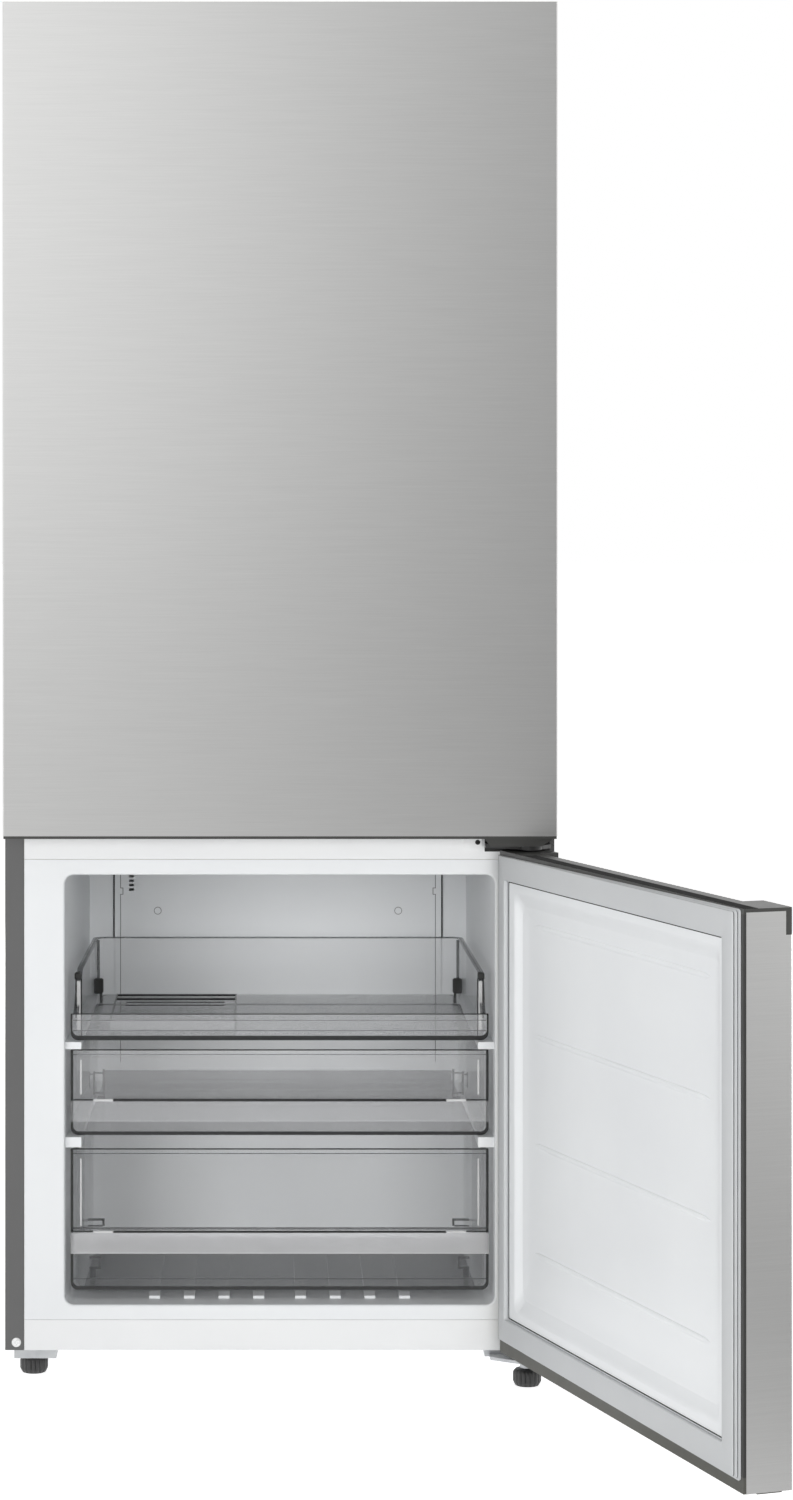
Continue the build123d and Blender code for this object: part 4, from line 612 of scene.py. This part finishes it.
olive_plastic = Finish("olive_plastic")
olive_plastic.coloured(tone(86, 86, 80), tone(76, 76, 71), 8.0,
                       rough=(0.48, 0.14, 60.0), grain=(1400.0, 0.00008))
olive_plastic.dress("freezer_door_bottom_cap")
black_plastic.dress("freezer_door_frame")

# ------------------------------------------------------------------ door gaskets
# A magnetic strip in soft grey vinyl is pressed into the frame round each door. It has three bellows
# folds at its outer edge and a broad flat lip inside. Thin dark rings sit in the grooves between the
# folds and along the lip: painted shade of the creases.
gasket_vinyl = Finish("gasket_vinyl", specular_ior_level=0.35)
gasket_vinyl.coloured(tone(204, 206, 207), tone(196, 198, 200), 6.0,
                      rough=(0.5, 0.14, 40.0), grain=(240.0, 0.00008))

HINGE_X = hinge_at[0] - middle
HINGE_Y = hinge_at[1] - face


def nested(low, high, rows, steps=8):
    """Rounded rectangles nested in one another as grid rows, for a frame or a dish. Each row gives how far
    in it lies from the outer rectangle (across, up), its depth and its corner radius, in millimetres."""
    made = []
    for inset, depth, radius in rows:
        (x0, z0), (x1, z1) = np.add(low, MM * np.array(inset)), np.subtract(high, MM * np.array(inset))
        points, _ = rounded_outline([(x0, z0), (x1, z0), (x1, z1), (x0, z1)], MM * radius, steps)
        made.append(np.concatenate([points, np.full((len(points), 1), MM * depth)], 1))
    return upright_plane(np.array(made))


def swing_trimmed(grid, reach):
    """Past the hinge line no point stands further back than a circle of that reach about the hinge."""
    past = np.maximum(grid[..., 0] - HINGE_X, 0)
    kept = grid.copy()
    kept[..., 1] = np.minimum(grid[..., 1], HINGE_Y + np.sqrt(reach ** 2 - past ** 2))
    return kept


GASKET_REACH = rail_front - HINGE_Y - 0.3 * MM     # a shut door's gasket meets the rail's front
GASKET_ROWS = [((31.4, 32.3), 59.0, 2.0), ((0.8, 0.8), 59.0, 3.0), ((-3.5, -1.0), 59.2, 4.0),
               ((-3.5, -1.0), 60.5, 4.0), ((3.4, 2.4), 60.9, 3.0), ((3.4, 2.4), 61.5, 3.0),
               ((0.2, 0.6), 61.8, 4.0), ((0.2, 0.6), 62.9, 4.0), ((6.6, 3.4), 63.2, 3.0),
               ((6.6, 3.4), 63.8, 3.0), ((4.8, 2.2), 64.1, 3.5), ((5.2, 2.5), 65.1, 3.5),
               ((6.2, 3.4), 65.3, 3.0), ((30.6, 31.5), 65.3, 3.0), ((31.8, 32.7), 64.9, 3.0),
               ((32.4, 33.3), 64.0, 2.5), ((32.4, 33.3), 61.0, 2.0), ((31.4, 32.3), 60.3, 2.0)]
# a painted groove shade's section is a rectangle: its outer and inner edge, its front and back, and its
# corner radius
GROOVE_SHADE_ROWS = [[(inset, depth, radius)
                for inset, depth in ((outer, y0), (outer, y1), (inner, y1), (inner, y0))]
               for outer, inner, y0, y1, radius in (((1.2, 1.2), (3.6, 2.6), 60.75, 61.6, 3.0),
                                                    ((5.0, 2.6), (6.8, 3.6), 63.1, 63.9, 3.0),
                                                    ((32.7, 34.3), (34.0, 35.7), 58.9, 59.4, 2.0))]
# Painted shade in the gasket's grooves; the same dark finish also colours the door's black top lip.
groove_shade_and_lip_black = Finish("groove_shade_and_lip_black", roughness=0.9, specular_ior_level=0.1)
groove_shade_and_lip_black.coloured(tone(62), tone(50), 60.0, grain=(500.0, 0.00005))
door_half = -local("upper_door_skin")[0][0]
GASKET_HALF = door_half - 10.3 * MM
END_CLEAR = 4 * MM                                 # the hinge's half keeps this far inside its ends
for name, body, place in (("upper_door_gasket", "upper_door", cabinet),
                          ("freezer_door_gasket", "freezer_door", open_door)):
    z0, z1 = (corner.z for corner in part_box(name))
    rings = []
    for rows in [GASKET_ROWS, *GROOVE_SHADE_ROWS]:
        ring = swing_trimmed(nested((-GASKET_HALF, z0), (GASKET_HALF, z1), rows), GASKET_REACH)
        kept_clear = np.clip(ring[..., 2], z0 + END_CLEAR, z1 - END_CLEAR)
        ring[..., 2] = np.where(ring[..., 0] > 0, kept_clear, ring[..., 2])
        rings.append(ring)
    piece(name + "_seal", rings[:1], gasket_vinyl, body, "grey_gasket", place=place, loop=True,
          replaces=[name])
    piece(name + "_grooves", rings[1:], groove_shade_and_lip_black, body, "grey_gasket", place=place, loop=True)

# A dark lip lies along the open door's top, behind the grip.
lip_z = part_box("freezer_door_top_cap")[1].z
top_lip = bar(-door_half + 0.6 * MM, 0.262, 41.5 * MM, 58.6 * MM, lip_z - 0.6 * MM, lip_z + 0.25 * MM,
              0.1 * MM)
piece("freezer_door_top_lip", [top_lip], groove_shade_and_lip_black, "freezer_door", "dark_plastic", place=open_door)

# ------------------------------------------------------------------ freezer door's inner panel
# One white vacuum-formed tray fills the middle of the door: a shallow dish with soft slopes and
# four low level ribs that stiffen it. Its edge is tucked under the gasket.
ring_half = door_half - 28 * MM
ring_low = (-ring_half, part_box("freezer_door_liner")[0].z)
ring_high = (ring_half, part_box("freezer_door_liner")[1].z)
DISH_EDGE, DISH_DEEP = 58.95, 10
# its back and its tucked edge, then a slope that falls by 10 * (1 - (1 - t)^2.2) while its inset grows
# with t, and its floor
dish_rows = [((62, 66), 47.0, 8.0), ((31, 25), 55.5, 14.0), ((0.2, 0.2), 56.1, 2.0),
             ((0.2, 0.2), DISH_EDGE, 2.0), ((29.5, 23.5), DISH_EDGE, 14.0)]
dish_rows += [((32 + 28 * t, 26 + 38 * t), DISH_EDGE - DISH_DEEP * (1 - (1 - t) ** 2.2), 14 - 4 * t)
              for t in np.linspace(0, 1, 9)]
dish_rows += [((66, 70), DISH_EDGE - DISH_DEEP, 8.0)]


def ridge(start, end, z, floor, width, rise, along=33, across=9):
    """Low level ridge: half an ellipse across, its height and width shrinking at both ends as
    (1 - |2 t - 1|^24)^0.5. Grid rows run along it."""
    t = np.linspace(0, 1, along)[:, None]
    share = np.sqrt(np.maximum(1 - abs(2 * t - 1) ** 24, 1e-4))
    turn = np.linspace(0, 2 * np.pi, 2 * across, endpoint=False)[None]
    x = start + (end - start) * t + 0 * turn
    return np.stack([x, floor + np.maximum(rise * np.sin(turn), -0.3 * rise) * share,
                     z + 0.5 * width * np.cos(turn) * share], 2)


RIB_HALF, RIB_Z = 0.250, (0.182, 0.318, 0.453, 0.590)
inner_panel = [nested(ring_low, ring_high, dish_rows)]
inner_panel += [ridge(-RIB_HALF, RIB_HALF, z, MM * (DISH_EDGE - DISH_DEEP), 7 * MM, 1.7 * MM) for z in RIB_Z]
piece("freezer_door_inner_panel", inner_panel, white_liner, "freezer_door", "white_liner", place=open_door,
      replaces=["freezer_door_liner"], crease=50.0)

# ------------------------------------------------------------------ upper door's inside
# The white inner panel is vacuum-formed like the liners. Its two raised sides carry moulded bins,
# which are as clear as the crisper drawer.
white_liner.dress("upper_door_liner")
clear_plastic = Finish("clear_plastic", specular_ior_level=0.6)
clear_plastic.shades(tone(225, 230, 232), tone(214, 220, 223), clear_plastic.noise(8.0))
edge_on = clear_plastic.node("LayerWeight", {}, {"Blend": 0.5}, out=1)
clear_plastic.surface(alpha=0.16 + 0.7 * edge_on ** 3, roughness=0.08 + 0.08 * clear_plastic.noise(30.0))
clear_plastic.bump(clear_plastic.noise(40.0), 0.0001)
clear_plastic.dress("door_bin_upper", "door_bin_lower", "crisper_drawer")

# ------------------------------------------------------------------ shelves of the fridge
# Toughened glass plates lie on ledges of the liner, the lowest one over the crisper drawer. Glass
# looks green where it is seen edge on.
shelf_glass = Finish("shelf_glass", specular_ior_level=0.6)
glass_edge = shelf_glass.node("LayerWeight", {}, {"Blend": 0.5}, out=1)
shelf_glass.surface(base_color=shelf_glass.mix(glass_edge, tone(214, 226, 222), tone(120, 168, 152)))
shelf_glass.surface(alpha=0.2 + 0.6 * glass_edge ** 2, roughness=0.04 + 0.05 * shelf_glass.noise(20.0))
shelf_glass.bump(shelf_glass.noise(12.0), 0.00005)
shelf_glass.dress("glass_shelf_upper", "glass_shelf_lower", "crisper_cover")

# ------------------------------------------------------------------ freezer drawers
# Three drawers moulded in smoky clear polystyrene: a pan with drafted walls and a rolled rim, and a
# flat front plate whose edges gather the light and look nearly black.
smoky = Finish("smoky_clear", clear=True, specular_ior_level=0.6)
smoky.shades(tone(150, 151, 153), tone(138, 139, 141), smoky.noise(7.0))
smoky_edge_on = smoky.node("LayerWeight", {}, {"Blend": 0.5}, out=1)
smoky.surface(alpha=0.04 + 0.42 * smoky_edge_on ** 3, roughness=0.06 + 0.08 * smoky.noise(25.0))
smoky.bump(smoky.noise(30.0), 0.0001)

smoky_front = Finish("smoky_front", clear=True, specular_ior_level=0.6)
smoky_front.coloured(tone(228, 229, 231), tone(218, 219, 221), 7.0,
                     rough=(0.08, 0.08, 25.0), alpha=(0.11, 0.04, 5.0), grain=(30.0, 0.0001))

smoky_rim = Finish("smoky_rim", specular_ior_level=0.6)
smoky_rim.coloured(tone(34, 35, 36), tone(24, 25, 26), 20.0,
                   rough=(0.14, 0.1, 40.0), alpha=(0.9, 0.08, 12.0), grain=(200.0, 0.00006))

smoky_bead = Finish("smoky_bead", clear=True, specular_ior_level=0.6)
smoky_bead.coloured(tone(92, 93, 95), tone(80, 81, 83), 16.0,
                    rough=(0.12, 0.1, 40.0), alpha=(0.56, 0.1, 12.0), grain=(120.0, 0.00006))

# The floors' plastic is darker and denser than the walls': partly the floor seen edge on, partly painted
# shade of the dark space under it.
smoky_floor_and_shade = Finish("smoky_floor_and_shade", clear=True, specular_ior_level=0.6)
smoky_floor_and_shade.coloured(tone(112, 113, 115), tone(100, 101, 103), 6.0,
                     rough=(0.12, 0.1, 25.0), alpha=(0.4, 0.06, 8.0), grain=(30.0, 0.0001))

# A still darker copy for the middle drawer's floor: painted shade.
deep_floor_shade = Finish("deep_floor_shade", clear=True, specular_ior_level=0.6)
deep_floor_shade.coloured(tone(104, 105, 107), tone(94, 95, 97), 6.0,
                    rough=(0.12, 0.1, 25.0), alpha=(0.58, 0.06, 8.0), grain=(30.0, 0.0001))

smoky_band = Finish("smoky_band", clear=True, specular_ior_level=0.6)
smoky_band.coloured(tone(214, 214, 215), tone(204, 204, 206), 9.0,
                    rough=(0.12, 0.1, 40.0), alpha=(0.34, 0.06, 6.0), grain=(60.0, 0.00008))

# Painted highlight: near-white streaks on the clear plastic's edges stand for its glints.
painted_highlight = Finish("painted_highlight", clear=True, specular_ior_level=0.6)
painted_highlight.coloured(tone(246), tone(236), 20.0,
                     rough=(0.1, 0.1, 40.0), alpha=(0.36, 0.2, 30.0), grain=(90.0, 0.00006))


def side_line(front_half, back_half, front, back, radius, shares):
    """Plan of a drawer's wall from its right front, round the back, to its left front, as points and
    outward normals. Each side wall has a point at every share of its length."""
    corners = [(-front_half, front), (front_half, front), (back_half, back), (-back_half, back)]
    points, normal = rounded_outline(corners, [0.1, 0.1, radius, radius], 10)
    points, normal = points[22:44], normal[22:44]          # the two back corners
    share = np.asarray(shares)[:, None]
    right = points[:1] + (np.array([[front_half, front]]) - points[:1]) * (1 - share)
    left = points[-1:] + (np.array([[-front_half, front]]) - points[-1:]) * share
    sides = len(share) - 1
    return (np.concatenate([right[:-1], points, left[1:]]),
            np.concatenate([np.repeat(normal[:1], sides, 0), normal, np.repeat(normal[-1:], sides, 0)]))


def strip(outline, profile):
    """A closed profile carried along an open line, as rows round the profile for each point of the line."""
    return carried(outline, profile).transpose(1, 0, 2)


# The drawers are drawn in millimetres.
PLATE, WALL = 3.0, 2.5
FRONT_HALF, BODY_HALF = 269.0, 263.0
BAND_OUT = 5.0                             # how far a grip band stands out in front of its plate
CORNER = 10.0
FOOT_ROUND = 11.0                          # rounding between a drawer's walls and its floor


def millimetres(grid):
    """Cabinet places in millimetres as places in the row's frame."""
    return cabinet(MM * grid)


def drawer_piece(name, grids, finish, body, **how):
    """One piece of a drawer, drawn in millimetres."""
    piece(name, grids, finish, body, "smoky_clear", place=millimetres, **how)


def bars(places, edge=0.4):
    """Square bars, each from its ends across, its front and back, and its foot and head."""
    return [bar(*place, edge) for place in places]


def twin_bars(places, edge=0.4):
    """The same bars on both sides of the middle: their ends across are distances from it."""
    return bars([(*sorted((side * x0, side * x1)), *rest)
                 for side in (-1, 1) for x0, x1, *rest in places], edge)


def upright(x_half, z0, z1, low_radius, high_radius):
    """Outline of an upright plate with rounded lower corners, as points and outward normals."""
    return rounded_outline([(-x_half, z0), (x_half, z0), (x_half, z1), (-x_half, z1)],
                           [low_radius, low_radius, high_radius, high_radius], 10)


def front_plate(z0, z1, front, edge=0.4):
    """Flat front plate with broken edges, its outline carried back from its face."""
    back = front + PLATE
    return upright_plane(carried(upright(FRONT_HALF, z0, z1, CORNER, 1.2),
                                 [(-edge, front), (0, front + edge), (0, back - edge), (-edge, back)]))


def front_rim(z0, z1, front, side_in, low_in, high_in, proud=0.1):
    """The dark rim of a front plate: its outline, a little proud, and one moved in on each side."""
    x_half, z0, z1 = FRONT_HALF + proud, z0 - proud, z1 + proud
    outer = upright(x_half, z0, z1, CORNER, 1.2)[0]
    inner = upright(x_half - side_in, z0 + low_in, z1 - high_in, CORNER - side_in, 0.4)[0]
    y0, y1 = front - proud, front + PLATE + proud
    rows = [(outer, y0), (inner, y0), (inner, y1), (outer, y1)]
    return upright_plane(np.array([np.concatenate([points, np.full((len(points), 1), y)], 1)
                                   for points, y in rows]))


def pan(front, back, low, rim, back_half, shares=(0, 0.25, 0.5, 0.75, 1)):
    """A drawer's side and back walls with a rounded foot, its rolled rim and its floor. rim gives the
    wall's height at a depth, and shares where its side walls have points."""
    line = side_line(BODY_HALF, back_half, front + PLATE, back, 14, shares)
    high = rim(line[0][:, 1])
    turn = np.linspace(0, np.pi / 2, 7)
    centre = low + FOOT_ROUND
    outer = [(-FOOT_ROUND + FOOT_ROUND * np.cos(a), centre - FOOT_ROUND * np.sin(a)) for a in turn]
    inner = [(-FOOT_ROUND + (FOOT_ROUND - WALL) * np.cos(a), centre - (FOOT_ROUND - WALL) * np.sin(a))
             for a in turn[::-1]]
    wall = strip(line, [(0, high), *outer, *inner, (-WALL, high)])
    bead = strip(line, [(2.8, high - 1.6), (2.8, high), (-4.2, high), (-4.2, high - 1.6)])
    corners = [(-BODY_HALF + FOOT_ROUND, front + PLATE), (BODY_HALF - FOOT_ROUND, front + PLATE),
               (back_half - FOOT_ROUND, back - FOOT_ROUND), (-back_half + FOOT_ROUND, back - FOOT_ROUND)]
    base = carried(rounded_outline(corners, [0.4, 0.4, 4, 4]), [(0, low), (0, low + WALL)])
    return wall, bead, base


# Each catch is a few bars: how far behind the front it stands, its ends from the middle, and its foot
# and head over the drawer's floor. The middle drawer's is a frame with an arm, the other's two elbows.
CATCHES = {"middle_drawer": [(290, 238, 241, 3, 38), (290, 251, 254, 3, 35), (290, 238, 254, 32, 34),
                             (290, 238, 254, 4, 7), (290, 258, 259.6, 12, 34), (290, 254, 258, 30, 32)],
           "bottom_drawer": [(290, 238, 241, 23, 33), (290, 238, 261, 30, 33), (290, 241, 261, 22, 24),
                             (60, 233, 236, 16, 30), (60, 233, 248, 27, 30), (60, 233, 248, 14, 16.5),
                             (60, 240, 247, 3, 14)]}
# Half the width at the back, the foot and head of the grip band and of its rib, and the band's finish.
BANDS = {"middle_drawer": (256, 321.7, 348.8, 348.0, 351.2, smoky_front),
         "bottom_drawer": (258, 151.6, 179.3, 178.9, 181.5, smoky_band)}
for name, (back_half, band0, band1, rib0, rib1, band_finish) in BANDS.items():
    (_, lip, low), (_, back, high) = (corner / MM for corner in local(name))
    front = lip + BAND_OUT
    middle_one = name == "middle_drawer"
    wall, bead, base = pan(front, back, low, lambda y: high + 0 * y, back_half)
    drawer_piece(name + "_pan", [wall], smoky, name, crease=50.0)
    drawer_piece(name + "_floor", [base], deep_floor_shade if middle_one else smoky_floor_and_shade, name, crease=50.0)
    # Painted shade: dark bars along the foot of the middle drawer's back wall.
    if middle_one:
        wall_face = back - WALL - 0.2
        drawer_piece(name + "_back_foot",
                     bars([(-244, 244, wall_face - 1.2, wall_face, low + 3, low + 17),
                           (-244, 244, back - 13, wall_face, low + 2.7, low + 3.9)], 0.3),
                     smoky_floor_and_shade, name)
    drawer_piece(name + "_front", [front_plate(low, high, front)], smoky_front if middle_one else smoky,
                 name, replaces=[name], crease=50.0)
    inside = front + PLATE
    top_line = bars([(3 - FRONT_HALF, FRONT_HALF - 3, inside, inside + 1.5, high - 7.4, high - 6.4)], 0.2)
    drawer_piece(name + "_rim", [bead, *top_line], smoky_bead, name, crease=50.0)
    drawer_piece(name + "_front_rim", [front_rim(low, high, front, 3.2, 4.4, 1.3)], smoky_rim, name,
                 loop=True, crease=50.0)
    drawer_piece(name + "_band", bars([(-FRONT_HALF, FRONT_HALF, lip, lip + 2, band0, band1)], 0.6)
                 + bars([(-FRONT_HALF, FRONT_HALF, lip + 2, front, band0, band0 + 2)]), band_finish, name)
    # the dark rib along the band's top, thin at its ends, and between them two bright notches of painted
    # highlight
    drawer_piece(name + "_band_edge", bars([(-214, 214, lip - 0.2, lip + 2.4, rib0, rib1)], 0.5)
                 + twin_bars([(240, 268, lip - 0.1, lip + 2.4, rib0 + 1.2, rib0 + 2.6)], 0.3),
                 smoky_rim, name)
    # painted highlights on the rib's notches and up the front of each side wall
    drawer_piece(name + "_bright_edges",
                 twin_bars([(214.5, 239.5, lip - 0.2, lip + 2.4, rib0 - 0.3, rib1 - 0.3),
                            (255, 257.5, front + 6, front + 9, band1 + 6, high - 14)], 0.6),
                 painted_highlight, name)
    drawer_piece(name + "_clips", twin_bars([(x0, x1, front + y, front + y + 3, low + z0, low + z1)
                                             for y, x0, x1, z0, z1 in CATCHES[name]]), smoky_bead, name)
    if not middle_one:
        drawer_piece(name + "_lines",
                     bars([(2 - FRONT_HALF, FRONT_HALF - 2, front - 0.6, front + 0.2, z, z + tall)
                           for z, tall in ((182.2, 3.0), (118.4, 1.0))], 0.2), smoky_bead, name)

# ------------------------------------------------------------------ top tray
# The shallow tray over the drawers has a low front and high sides, whose front ends sweep up to
# black caps with dark edges. Two black stops at the back keep it from being pulled out.
(_, front, low), (_, back, high) = (corner / MM for corner in local("top_tray"))
FRONT_TOP = low + 34
SWEEP_START, SWEEP_END = front + 4, front + 44


def tray_rim(y):
    """Height of the tray's wall: up from the front plate's top by 3 t^2 - 2 t^3 over the sweep."""
    t = np.clip((y - SWEEP_START) / (SWEEP_END - SWEEP_START), 0, 1)
    return FRONT_TOP + (high - FRONT_TOP) * (3 * t ** 2 - 2 * t ** 3)


SWEEP_SHARES = (*np.arange(11) / 100, 0.12, 0.2, 0.4, 0.6, 0.8, 1)      # close together along the sweep
wall, bead, base = pan(front, back, low, tray_rim, 256, SWEEP_SHARES)
inside = front + PLATE
lines = bars([(3 - FRONT_HALF, FRONT_HALF - 3, inside, inside + 1.5, z, z + tall)
              for z, tall in ((450.6, 1.0), (437.2, 1.3))], 0.2)
drawer_piece("top_tray_pan", [wall], smoky, "top_tray", crease=50.0)
drawer_piece("top_tray_floor", [base], smoky_floor_and_shade, "top_tray", crease=50.0)
drawer_piece("top_tray_front", [front_plate(low, FRONT_TOP, front)], smoky_front, "top_tray",
             replaces=["top_tray"], crease=50.0)
drawer_piece("top_tray_rim", [bead, *lines], smoky_bead, "top_tray", crease=50.0)
drawer_piece("top_tray_front_rim", [front_rim(low, FRONT_TOP, front, 2.2, 5.6, 1.2)], smoky_rim, "top_tray",
             loop=True, crease=50.0)
# the bars of one side: ends across, front and back, foot and head
STOP, STOP_LEG = (245, 258, 496, 508, 430, 451), (246, 250, 496, 500, 417, 431)
CAP = (257, 265.5, 120, 136, 500, 509)
CAP_EDGES = [(262.4, 264, 112, 116, 452, 503), (255.4, 256.8, 112, 116, 424, 503)]
# a painted highlight streak runs down each side's cap
CAP_HIGHLIGHT = (257, 262.2, 112, 116, 436, 500)
piece("top_tray_stops", twin_bars([STOP], 2.0) + twin_bars([STOP_LEG], 1.0) + twin_bars([CAP], 1.5),
      black_plastic, "top_tray", "dark_plastic", place=millimetres)
drawer_piece("top_tray_outlines", twin_bars(CAP_EDGES), smoky_rim, "top_tray")
drawer_piece("top_tray_corners", twin_bars([(250, 254, back - 13, back - 9, 446, high - 3)], 0.6),
             smoky_bead, "top_tray")
drawer_piece("top_tray_bright_edges", twin_bars([CAP_HIGHLIGHT], 1.0), painted_highlight, "top_tray")

# ------------------------------------------------------------------ ice tray
# A flat smoky tray lies in the top tray, with two dark bars along its back to lift it by and a dark
# line down each side.
(x0, y0, z0), (x1, y1, z1) = (corner / MM for corner in local("ice_tray"))
ICE_WALL = 2
ice = carried(rounded_outline([(x0, y0), (x1, y0), (x1, y1), (x0, y1)], 5),
              [(-1, z0), (0, z0 + 1), (0, z1), (-ICE_WALL, z1), (-ICE_WALL, z0 + ICE_WALL + 1),
               (-ICE_WALL - 1, z0 + ICE_WALL)])
drawer_piece("ice_tray_body", [ice], smoky_front, "top_tray", replaces=["ice_tray"], crease=50.0)
drawer_piece("ice_tray_bars", bars([(x0 + 2, x1 - 2, y1 - start, y1 - end, z1 - 1.5, z1 + 1.2)
                                    for start, end in ((5, 2), (44, 34))], 0.5), smoky_rim, "top_tray")
drawer_piece("ice_tray_lines", bars([(x0 + 16, x1 - 16, y1 - start, y1 - start + 6, z1 - 0.5, z1 + 0.8)
                                     for start in (76, 104)], 0.2)
             + bars([(x, x + 2.2, y0 + 2, y1 - 2, z1 - 0.5, z1 + 1.6) for x in (x0, x1 - 2.2)], 0.3),
             smoky_rim, "top_tray")
